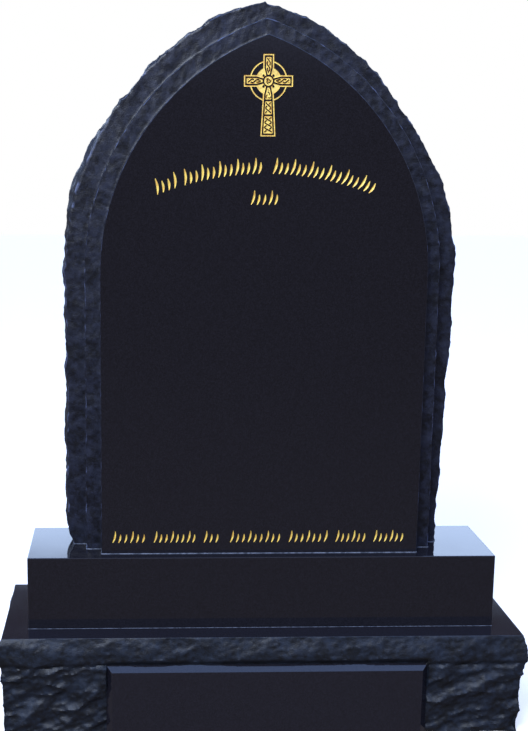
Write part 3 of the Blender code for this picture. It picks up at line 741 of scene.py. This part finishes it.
def rounded(corners, size):
    """An outline whose corners become parabolas that start `size` before them."""
    before = unit(np.roll(corners, 1, axis=0) - corners)
    after = unit(np.roll(corners, -1, axis=0) - corners)
    t = np.linspace(0, 1, CORNER_STEPS)[:, None, None]
    curves = corners + size * ((1 - t) ** 2 * before + t**2 * after)
    return curves.transpose(1, 0, 2).reshape(-1, 2)


print("boss of the cross", round(1000 * (TABLET_FOOT + BOSS_HEIGHT)), "mm above the ground")

# %% Outline of the Celtic cross
ARM_UP = 0.048
ARM_SIDE = 0.0473
SHAFT_DOWN = 0.0995
ARM_HALF = 0.0104
SHAFT_FOOT_HALF = 0.0146
OUTLINE_WIDTH = 0.0024
CHANNEL = 0.0029
NECK_REACH = 0.0100
NECK_HALF = 0.0045
NECK_END = 0.0235
RING_RADIUS = 0.0353
RING_WIDTH = 0.0024
DISC_RADIUS = 0.0248
DOT_REACH = 0.0135
DOT_RADIUS = 0.0023
BOSS_RADIUS = 0.0083
BOSS_RIM = 0.0016
UPPER_BREAK = 0.0345
LOWER_BREAK = 0.0612
PANEL_CORNER = 0.0018
ARMS = (
    (0.0, ARM_SIDE, ARM_HALF),
    (0.5 * math.pi, ARM_UP, ARM_HALF),
    (1.0 * math.pi, ARM_SIDE, ARM_HALF),
    (1.5 * math.pi, SHAFT_DOWN, SHAFT_FOOT_HALF),
)


def cross_outline():
    """The outer edge of the cross, with the disc's arcs in the angles between its arms."""
    start = math.asin(ARM_HALF / DISC_RADIUS)
    lines = []
    for turn, end, end_half in ARMS:
        lines.append(laid(turn, [end, end], [-end_half, end_half]))
        lines.append(arc_points(DISC_RADIUS, turn + start, turn + math.pi / 2 - start, CURVE_STEPS))
    return np.concatenate(lines)


def inner_outline():
    """The inner edge of the gold line: the same cross, waisted towards the boss and round it."""
    half = ARM_HALF - OUTLINE_WIDTH
    start = math.atan2(NECK_HALF, NECK_REACH)
    neck = math.hypot(NECK_HALF, NECK_REACH)
    lines = []
    for turn, end, end_half in ARMS:
        end, end_half = end - OUTLINE_WIDTH, end_half - OUTLINE_WIDTH
        lines.append(laid(turn, [NECK_END, end, end, NECK_END], [-half, -end_half, end_half, half]))
        lines.append(arc_points(neck, turn + start, turn + math.pi / 2 - start, CURVE_STEPS // 2))
    return np.concatenate(lines)


def room(reach, end, end_half):
    """Half width inside the gold line at a distance along an arm."""
    places = (NECK_REACH, NECK_END, end - OUTLINE_WIDTH)
    return np.interp(reach, places, (NECK_HALF, ARM_HALF - OUTLINE_WIDTH, end_half - OUTLINE_WIDTH))


def panel_outline(arm, start, stop):
    """A gilded panel between two distances along an arm, a channel's width inside the gold line."""
    turn, end, end_half = arm
    reach = [start] + [NECK_END] * (start < NECK_END < stop) + [stop]
    side = room(reach, end, end_half) - CHANNEL
    corners = [laid(turn, reach, -side), laid(turn, reach[::-1], side[::-1])]
    return rounded(np.concatenate(corners), PANEL_CORNER)


def ring_shapes():
    """The ring's four arcs between the arms. Each runs into the gold line round the cross."""
    outer, inner = RING_RADIUS + RING_WIDTH / 2, RING_RADIUS - RING_WIDTH / 2
    start = math.asin((ARM_HALF - OUTLINE_WIDTH / 2) / outer)
    shapes = []
    for turn, _, _ in ARMS:
        low, high = turn + start, turn + math.pi / 2 - start
        arcs = [arc_points(radius, low, high, CURVE_STEPS) for radius in (outer, inner)]
        shapes.append(band(*arcs, RING_DEPTH))
    return shapes


cross_wide, cross_tall = 2 * CROSS_SQUEEZE * ARM_SIDE, ARM_UP + SHAFT_DOWN
print("cross", round(1000 * cross_wide), "by", round(1000 * cross_tall), "mm")

# %% [markdown]
# ## Knotwork
#
# Celtic knotwork is one strand that passes over and under by turns. In a long panel two strands
# swing from side to side as cosines, one the mirror of the other, and cross where both are at
# zero. The three-cornered knot is a single closed line, the sum of two circling motions.
# Whichever strand passes under is cut short on both sides of the crossing, and the eye reads it
# as woven.

# %% Knotwork
STRAND_WIDTH = 0.0023
STRAND_GAP = 0.0006
STRAND_MARGIN = 0.0009
ARM_KNOT_START = 0.0145
ARM_CROSSINGS = 2.3
TREFOIL_STRAND = 0.0017
CURL_STRAND = 0.0018
TREFOIL_REACH = 0.0045
TREFOIL_PLACE = 0.0262
TREFOIL_STRETCH = 1.4
TREFOIL_DOT = 0.0160
TREFOIL_DOT_RADIUS = 0.0009
CURL_SHARES = (0.25, 0.87)
CURL_TURN = 2.6


def knot(arm, start, stop, crossings, lag=0.0):
    """Two strands woven along a panel: side = swing x cos(pi x (crossings x share + lag)).

    They start in the panel's corners, or with a lag of half a swing in a point.
    """
    turn, end, end_half = arm
    length = stop - start
    border = CHANNEL + STRAND_MARGIN + STRAND_WIDTH / 2
    pieces = []
    for strand, side in enumerate((1, -1)):
        zeros = (np.arange(strand, crossings, 2) + 0.5 - lag) / crossings
        under = zeros[zeros < 1].tolist()
        breaks = sorted({0.0, 1.0, *under})
        for low, high in zip(breaks[:-1], breaks[1:]):
            ends = []
            for place, direction in ((low, 1), (high, -1)):
                swing = room(start + length * place, end, end_half) - border
                slope = swing * math.pi * crossings / length
                short = (STRAND_WIDTH + STRAND_GAP) / math.hypot(1, slope) / length
                ends.append(place + direction * short * (place in under))
            t = np.linspace(*ends, 1 + CURVE_STEPS * max(1, round((high - low) * crossings)))
            reach = start + length * t
            swing = room(reach, end, end_half) - border
            wave = np.cos(math.pi * (crossings * t + lag))
            pieces.append(laid(turn, reach, side * swing * wave))
    return pieces


def trefoil():
    """One endless strand: a unit circle plus one of twice the size turned back twice as fast.

    It crosses itself where the cosine of the turn is -1/4, and it is cut where it passes under.
    Before the stretch its three corners lie 3 units from its middle.
    """
    crossing = math.acos(-0.25)
    stop = (TREFOIL_STRAND + STRAND_GAP) / TREFOIL_REACH
    pieces = []
    for k in range(3):
        low = -crossing + (k + 1) * 2 * math.pi / 3
        turn = np.linspace(low + stop, low + 2 * math.pi / 3 - stop, 2 * CURVE_STEPS)
        x = np.sin(turn) + 2 * np.sin(2 * turn)
        z = TREFOIL_STRETCH * (2 * np.cos(2 * turn) - np.cos(turn))
        pieces.append(np.column_stack([x, z]) * TREFOIL_REACH / 3 - (0, TREFOIL_PLACE))
    return pieces


def curls():
    """Three curls on the boss, each a part of a spiral whose reach grows evenly with its turn."""
    inner = BOSS_RADIUS - BOSS_RIM - CURL_STRAND / 2
    pieces = []
    for k in range(3):
        angle = 2 * math.pi * k / 3 + np.linspace(0, CURL_TURN, CURVE_STEPS)
        reach = inner * np.linspace(*CURL_SHARES, CURVE_STEPS)
        pieces.append(np.column_stack([reach * np.cos(angle), reach * np.sin(angle)]))
    return pieces


def cross_panels():
    """Outlines of the gilded panels and the boss, and the knots' paths that stand on them."""
    shaft = ARMS[3]
    first = BOSS_RADIUS + CHANNEL
    edge = STRAND_MARGIN + STRAND_WIDTH / 2
    outlines, paths = [disc(BOSS_RADIUS, 0, 0)], []
    for arm in ARMS[:3]:
        last = arm[1] - OUTLINE_WIDTH - CHANNEL
        outlines.append(panel_outline(arm, first, last))
        paths += knot(arm, ARM_KNOT_START, last - edge, ARM_CROSSINGS, lag=0.5)
    outlines.append(panel_outline(shaft, first, UPPER_BREAK - CHANNEL / 2))
    for start, stop, crossings in (
        (UPPER_BREAK + CHANNEL / 2, LOWER_BREAK - CHANNEL / 2, 2),
        (LOWER_BREAK + CHANNEL / 2, SHAFT_DOWN - OUTLINE_WIDTH - CHANNEL, 3),
    ):
        outlines.append(panel_outline(shaft, start, stop))
        paths += knot(shaft, start + edge, stop - edge, crossings)
    return outlines, paths


panel_outlines, strand_paths = cross_panels()
print(len(panel_outlines), "gilded panels,", len(strand_paths), "stretches of strand")

# %% [markdown]
# ## Rows of strokes
#
# Where a memorial carries its words, this one has rows of plain leaf-shaped strokes. Every third
# one is tall, and all bow slightly to one side. Each is a V-cut, the shape a mason's chisel
# leaves: its width and depth swell from tip to middle as a sine. Two rows are straight. The third
# follows an arc under the cross.

# %% Strokes
STROKE_PITCH = 0.0110
STROKE_FATNESS = 0.148
STROKE_DEPTH = 0.0018
STROKE_TIP = 0.28
STROKE_BOW = 0.07
STROKE_STEPS = 11
STROKE_LEAN = math.radians(13)
TALL_EVERY = 3
SHORT_STROKE = 0.72
ARCHED_ROW_DROP = 0.2505
ARCHED_ROW_RADIUS = 0.544
ARCHED_ROW = (0.207, 0.030, ((0.00, 0.11), (0.13, 0.49), (0.53, 1.00)))
SHORT_ROW_DROP = 0.3075
SHORT_ROW = (0.0275, 0.027, ((0.00, 1.00),))
FOOT_ROW_RISE = 0.0225
FOOT_GROUPS = (
    (0.00, 0.12), (0.14, 0.29), (0.31, 0.37), (0.40, 0.58), (0.60, 0.74), (0.76, 0.87), (0.89, 1.00)
)
FOOT_ROW = (0.288, 0.024, FOOT_GROUPS)


def stroke(x, height, tall, turn, width):
    """A leaf-shaped V-cut that stands on (x, height), leans with its row and bows to one side."""
    t = np.linspace(0, 1, STROKE_STEPS)
    swell = STROKE_TIP + (1 - STROKE_TIP) * np.sin(math.pi * t)
    lean = STROKE_LEAN + turn
    across = np.array([math.cos(lean), -math.sin(lean)]) * width / 2
    aside = 2 * STROKE_BOW * tall / width * np.sin(math.pi * t)
    middle_x = x + t * tall * math.sin(lean) + aside * across[0]
    middle_z = height + t * tall * math.cos(lean) + aside * across[1]
    rings = []
    for side, sink in ((-1, -CUT_CLEAR), (1, -CUT_CLEAR), (1, 0), (0, 1), (-1, 0)):
        depth = STROKE_DEPTH * swell if sink > 0 else sink
        edge_x, edge_z = middle_x + side * swell * across[0], middle_z + side * swell * across[1]
        rings.append(on_face(edge_x, edge_z, depth))
    return tube(np.stack(rings, axis=1))


def arched_place(along):
    """x, height and turn on the arched row, a part of a circle."""
    turn = along / ARCHED_ROW_RADIUS
    fall = ARCHED_ROW_RADIUS * (1 - math.cos(turn))
    return ARCHED_ROW_RADIUS * math.sin(turn), APEX_HEIGHT - ARCHED_ROW_DROP - fall, turn


def row_shapes(row, place):
    """One row of strokes in groups. Every third stroke of a group is tall."""
    half, tall, groups = row
    shapes = []
    for first, last in groups:
        start, end = half * (2 * first - 1), half * (2 * last - 1)
        count = max(2, round((end - start) / STROKE_PITCH))
        for number, along in enumerate(np.linspace(start, end, count + 1)[:-1]):
            share = SHORT_STROKE if number % TALL_EVERY else 1.0
            x, height, turn = place(along)
            shapes.append(stroke(x, height, tall * share, turn, tall * STROKE_FATNESS))
    return shapes


strokes = row_shapes(ARCHED_ROW, arched_place)
strokes += row_shapes(SHORT_ROW, lambda along: (along, APEX_HEIGHT - SHORT_ROW_DROP, 0.0))
strokes += row_shapes(FOOT_ROW, lambda along: (along, FOOT_ROW_RISE, 0.0))
print(len(strokes), "strokes")

# %% Cut the carving into the face
dots = [disc(DOT_RADIUS, DOT_REACH, turn + math.pi / 4) for turn, _, _ in ARMS]
kept_lines = [plate(outline, CROSS_DEPTH, KEEP_MARGIN) for outline in [inner_outline()] + dots]
paths = [(STRAND_WIDTH, path) for path in strand_paths]
paths += [(TREFOIL_STRAND, path) for path in trefoil()] + [(CURL_STRAND, path) for path in curls()]
kept_strands = [ribbon(path, width, CROSS_DEPTH, KEEP_MARGIN) for width, path in paths]
trefoil_dot = disc(TREFOIL_DOT_RADIUS, TREFOIL_DOT, ARMS[3][0])
kept_strands.append(plate(trefoil_dot, CROSS_DEPTH, KEEP_MARGIN))
panels = [plate(outline, CROSS_DEPTH) for outline in panel_outlines]
for name, shapes, kept in (
    ("gold_line", [plate(cross_outline(), CROSS_DEPTH)], kept_lines),
    ("ring", ring_shapes(), None),
    ("panels", panels, kept_strands),
    ("rows", strokes, None),
):
    cutter = add_mesh("cut_" + name, *join_shapes(shapes), [gold])
    if kept:
        combine(cutter, add_mesh("keep_" + name, *join_shapes(kept), [gold]))
    combine(tablet, cutter)
shade(tablet, [face_polish, sawn_stone])
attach(tablet, "root")
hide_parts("tablet")
print("tablet:", count_triangles(tablet), "triangles in", len(tablet.data.materials), "materials")

# %% [markdown]
# ## The sub-base
#
# The bottom stone is sawn and polished on top and pitched on its sides, so that it looks
# quarried. A proud polished panel is left on its front. The sides are a ribbon that runs round
# the stone and down from the top arris: a belly below the arris, then a slow retreat to the
# ground, with flakes of several sizes. On the front, a ledge in line with the panel's head throws
# a thin shadow.

# %% Surface of the sub-base
SUB_WIDTH = 1.010
SUB_DEPTH = 0.310
ROCK_PROUD = 0.009
BELLY_PROUD = 0.007
BELLY_DROP = 0.045
FOOT_RECEDE = 0.010
ROCK_FADE = 0.016
ROCK_LAYERS = ((0.062, 0.0085, 3),)
CHIP_LAYERS = ((0.036, 0.0110, 61), (0.014, 0.0046, 67), (0.0060, 0.0014, 71))
STRIP_LAYERS = ((0.030, 0.0022, 73), (0.0090, 0.0018, 79), (0.0050, 0.0010, 83))
CHIP_STRETCH = 1.5
SIDE_CHIP_SHARE = 0.35
LEDGE_DEPTH = 0.0038
LEDGE_HALF = 0.0042
PANEL_ROLL = 0.013
ROLL_SINK = 0.001
PANEL_WIDTH = 0.624
PANEL_OFF_CENTRE = 0.008
PANEL_DROP = 0.056
PANEL_PROUD = 0.010
PANEL_CHAMFER = 0.011
PANEL_SHOULDER = 0.001
ROCK_SPACING = 0.0030
BLOCK_SETBACK = 0.0030
TOP_ARRIS = 0.0006
SEAT_BLEND = 0.004
SUB_HEIGHT = base_high.z
SUB_FRONT = -SUB_DEPTH / 2


def base_stations(spacing):
    """Places round the stone's top from the front left corner, their outward directions and run."""
    half_w, half_d = SUB_WIDTH / 2, SUB_DEPTH / 2
    wide = np.linspace(-half_w, half_w, round(SUB_WIDTH / spacing), endpoint=False)
    deep = np.linspace(-half_d, half_d, round(SUB_DEPTH / spacing), endpoint=False)
    x = np.concatenate([wide, np.full(len(deep), half_w), -wide, np.full(len(deep), -half_w)])
    y = np.concatenate([np.full(len(wide), -half_d), deep, np.full(len(wide), half_d), -deep])
    out_x = np.sign(x) * (np.abs(x) > half_w - TINY)
    out_y = np.sign(y) * (np.abs(y) > half_d - TINY)
    run = np.concatenate([[0], np.cumsum(np.hypot(np.diff(x), np.diff(y)))])
    return x, y, out_x, out_y, run


def rock_offset(x, out_y, run, drop):
    """How far the side stands out from the top arris: belly, retreat, flakes, ledge, panel's seat.

    Over the panel the rock rolls back to nothing, so that the panel's chamfer shows.
    """
    rise = 1 - (1 - np.minimum(drop / BELLY_DROP, 1)) ** 2
    retreat = np.maximum(drop - BELLY_DROP, 0) / (SUB_HEIGHT - BELLY_DROP)
    fade = np.minimum(drop / ROCK_FADE, 1)
    chip_fade = np.minimum(drop / (ROCK_FADE / 3), 1)
    offset = BELLY_PROUD * rise - FOOT_RECEDE * retreat + relief(run, -drop, ROCK_LAYERS) * fade
    lower = np.clip((drop - PANEL_DROP) / LEDGE_HALF, 0, 1)
    strip = relief(run, -CHIP_STRETCH * drop, STRIP_LAYERS) * (1 - lower)
    block = (relief(run, -CHIP_STRETCH * drop, CHIP_LAYERS) - BLOCK_SETBACK) * lower
    offset = offset + (strip + block) * chip_fade * np.where(out_y == 0, SIDE_CHIP_SHARE, 1.0)
    front = out_y < 0
    offset = offset - LEDGE_DEPTH * front * hump(drop, PANEL_DROP, LEDGE_HALF)
    offset = np.minimum(offset, ROCK_PROUD)
    across_panel = np.abs(x - PANEL_OFF_CENTRE) < PANEL_WIDTH / 2
    rolling = (PANEL_DROP - PANEL_ROLL, PANEL_DROP - 2 * ROLL_SINK)
    roll = np.interp(drop, rolling, (ROCK_PROUD, -ROLL_SINK))
    settle = np.clip((drop - PANEL_DROP + 1.5 * SEAT_BLEND) / SEAT_BLEND, 0, 1)
    rolled = np.minimum(offset, roll) * (1 - settle) - ROLL_SINK * settle
    offset = np.where(front & across_panel, rolled, offset)
    seat = PANEL_PROUD - PANEL_CHAMFER - PANEL_SHOULDER
    return np.where(front & across_panel & (drop > PANEL_DROP), np.minimum(offset, seat), offset)


def panel_rings():
    """Rings of the panel, from inside the stone to its front. The last two give the chamfer."""
    left, right = PANEL_OFF_CENTRE - PANEL_WIDTH / 2, PANEL_OFF_CENTRE + PANEL_WIDTH / 2
    top, front = SUB_HEIGHT - PANEL_DROP, SUB_FRONT - PANEL_PROUD
    rings = []
    for y, inset in (
        (SUB_FRONT + PANEL_PROUD + PANEL_CHAMFER, 0),
        (front + PANEL_CHAMFER, 0),
        (front, PANEL_CHAMFER),
    ):
        low_x, high_x, high_z = left + inset, right - inset, top - inset
        rings.append([(low_x, y, 0), (high_x, y, 0), (high_x, y, high_z), (low_x, y, high_z)])
    return rings


x, y, out_x, out_y, run = base_stations(ROCK_SPACING)
drop = np.linspace(0, SUB_HEIGHT, round(SUB_HEIGHT / ROCK_SPACING))
drop = np.concatenate([[0, TOP_ARRIS, TOP_ARRIS + GUARD], drop[1:]])[:, None]
offset = rock_offset(x, out_y, run, drop)
offset[0] -= TOP_ARRIS
rock = np.stack([x + out_x * offset, y + out_y * offset, SUB_HEIGHT - drop + 0 * offset], axis=-1)
rock = np.clip(rock, base_low, base_high)
places = (0, TOP_ARRIS, TOP_ARRIS + GUARD, 3 * ROCK_SPACING)
struck = np.interp(drop, places, (0.0, 0.12, 0.10, 0.0))
bruise = struck * (0.2 + flakes(run, BRUISE_STRETCH * drop, BRUISE_SIZE, 53))
slots = [0] * offset[1:].size + [1, 0]
sub_base = add_mesh("granite_sub_base", *tube(rock), [rock_stone, base_polish], slots, bruise)
combine(sub_base, add_mesh("panel", *tube(panel_rings()), [base_polish]), "UNION")
shade(sub_base, [base_polish], ROCK_SHARP_ANGLE)
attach(sub_base, "root")
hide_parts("sub_base")
print("sub-base:", count_triangles(sub_base), "triangles")

# %% [markdown]
# ## The plinth
#
# The plinth is a plain polished block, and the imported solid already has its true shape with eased
# arrises. There is nothing to model again, so it keeps its mesh and only gets the polished
# material.

# %% Plinth
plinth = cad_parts["plinth"]
for slot in plinth.material_slots:
    slot.material = plinth_polish
print("plinth", [round(1000 * side) for side in plinth_high - plinth_low], "mm")

# %% [markdown]
# ## The joints
#
# The stones are bedded on a little pale mortar, and a thin bead of it shows round the foot of the
# tablet and of the plinth. Each bead follows the plan of the stone above, which for the tablet
# has two steps on each side. A narrow section is swept along that plan, just outside the stone.

# %% Mortar beads
BEAD_PROUD = 0.0010
BEAD_TALL = 0.0014
BEAD_CLEAR = 0.0002
MORTAR_SCALE = 130.0
MORTAR_ROUGHNESS = 0.8


def mortar(name, pale, dark):
    """Fine pale mortar, dirty in patches."""
    material, tree, place = new_material(name)
    dirt = tree.noise(place, MORTAR_SCALE, 3.0, 0.6).between(0.38, 0.66)
    base = tree.mix(dirt, pale, dark)
    tree.surface({"Base Color": base, "Roughness": MORTAR_ROUGHNESS})
    return material


def bead(name, plan, bed, proud, tall):
    """A closed strip round a plan. Each corner moves out along the mean of its sides' normals."""
    ahead = unit(np.roll(plan, -1, axis=0) - plan)
    outward = np.column_stack([-ahead[:, 1], ahead[:, 0]])
    corner = outward + np.roll(outward, 1, axis=0)
    corner /= np.maximum((corner**2).sum(axis=1) / 2, 0.5)[:, None]
    rings = []
    for out, rise in ((BEAD_CLEAR, 0), (proud, 0), (0.8 * proud, tall), (BEAD_CLEAR, tall)):
        place = plan + out * corner
        rings.append(np.column_stack([place, np.full(len(plan), bed + TINY + rise)]))
    index = np.arange(4 * len(plan)).reshape(len(plan), 4)
    index = np.column_stack([index, index[:, :1]])
    faces = quads(np.vstack([index, index[:1]])).tolist()
    made = add_mesh(name, np.stack(rings, axis=1).reshape(-1, 3), faces, [joint_mortar])
    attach(made, "root")
    return made


joint_mortar = mortar("joint_mortar", (0.17, 0.19, 0.24), (0.05, 0.06, 0.08))
foot_plan = np.concatenate([points[:, 0, :2], points[::-1, -1, :2]])
left, front, right, back = *plinth_low.xy, *plinth_high.xy
plinth_plan = np.array([(left, front), (left, back), (right, back), (right, front)])
tablet_bead = bead("tablet_bead", foot_plan, plinth_high.z, BEAD_PROUD, BEAD_TALL)
plinth_bead = bead("plinth_bead", plinth_plan, base_high.z, BEAD_PROUD / 2, BEAD_TALL / 2)
print("beads of", count_triangles(tablet_bead), "and", count_triangles(plinth_bead), "triangles")

# %% [markdown]
# ## Floor, light and sky
#
# Polished stone shows what it mirrors, so the surroundings matter more than lamps. Dim ground in
# front keeps the face black. A pale sky low behind makes the plinth's top shine, and a dark band
# just above it is what the sub-base's top mirrors. The sky is duller at the sides, and blue
# overhead, which tints every facet that faces up. One soft lamp in front, a little blue, wakes
# the gold. The camera itself sees plain white and a pale floor.

# %% World
SKY_OVERHEAD = (0.80, 1.18, 2.30)
SKY_BEHIND = (2.1, 2.7, 3.9)
SKY_SHADE = (0.075, 0.060, 0.062)
SKY_SIDE = (0.40, 0.48, 0.72)
SKY_FRONT = (0.60, 0.69, 1.06)
GROUND = (0.195, 0.18, 0.205)
GROUND_FAR = (0.138, 0.127, 0.138)
HORIZON = (0.05, 0.15)
BACK_TURN = (-0.15, 0.45)
SHADE_HEIGHTS = (0.310, 0.326)
BEHIND_HALF = (0.42, 0.62)
GROUND_HEIGHTS = (-0.32, -0.10)
DOME_HEIGHTS = (0.50, 0.88)

world = bpy.data.worlds.new("studio")
bpy.context.scene.world = world
sky = Tree(world)
direction = sky.node("TexCoord")
parts = sky.node("SeparateXYZ", {"Vector": direction}).socket.node.outputs
across, toward_back, height = (Wire(sky, part) for part in parts)
aside = sky.node("Math", {0: across}, operation="ABSOLUTE")
behind = sky.mix(height.between(*SHADE_HEIGHTS), SKY_BEHIND, SKY_SHADE)
behind = sky.mix(aside.between(*BEHIND_HALF), behind, SKY_SIDE)
ground = sky.mix(height.between(*GROUND_HEIGHTS), GROUND, GROUND_FAR)
level = sky.mix(toward_back.between(*BACK_TURN), SKY_FRONT, behind)
dome = sky.mix(height.between(*DOME_HEIGHTS), level, SKY_OVERHEAD)
around = sky.mix(height.between(*HORIZON), ground, dome)
seen = sky.node("LightPath")
mirrored = sky.node("Background", {"Color": around})
plain = sky.node("Background", {"Color": (1, 1, 1, 1)})
both = sky.node("MixShader", {0: seen, 1: mirrored, 2: plain})
sky.node("OutputWorld", {"Surface": both})
bpy.context.scene.view_settings.view_transform = "Standard"
print("world ready")

# %% Lamp and floor
LAMP_PLACE = (-1.6, -3.4, 3.6)
LAMP_TARGET = (0.0, 0.0, 1.0)
LAMP_SIZE = 1.6
LAMP_POWER = 240.0
LAMP_COLOUR = (0.80, 0.88, 1.0)
FLOOR_SIZE = 30.0
FLOOR_GLOW = (0.40, 0.38, 0.33, 1.0)

lamp = bpy.data.lights.new("soft_lamp", "AREA")
lamp.size = LAMP_SIZE
lamp.energy = LAMP_POWER
lamp.color = LAMP_COLOUR
lamp_object = bpy.data.objects.new("soft_lamp", lamp)
lamp_object.location = LAMP_PLACE
aim = Vector(LAMP_TARGET) - Vector(LAMP_PLACE)
lamp_object.rotation_euler = aim.to_track_quat("-Z", "Y").to_euler()
bpy.context.scene.collection.objects.link(lamp_object)

half = FLOOR_SIZE / 2
corners = [(-half, -half, 0), (half, -half, 0), (half, half, 0), (-half, half, 0)]
pale, tree, place = new_material("pale_floor")
tint = tree.mix(tree.noise(place, 3.0), (0.80, 0.79, 0.77), (0.84, 0.83, 0.81))
glow = {"Emission Color": FLOOR_GLOW, "Emission Strength": 1.0}
tree.surface({"Base Color": tint, "Roughness": 0.9, **glow})
floor = add_mesh("floor", corners, [(0, 1, 2, 3)], [pale])
floor.visible_glossy = False
floor.visible_diffuse = False
print("lamp", LAMP_POWER, "W, floor", FLOOR_SIZE, "m")
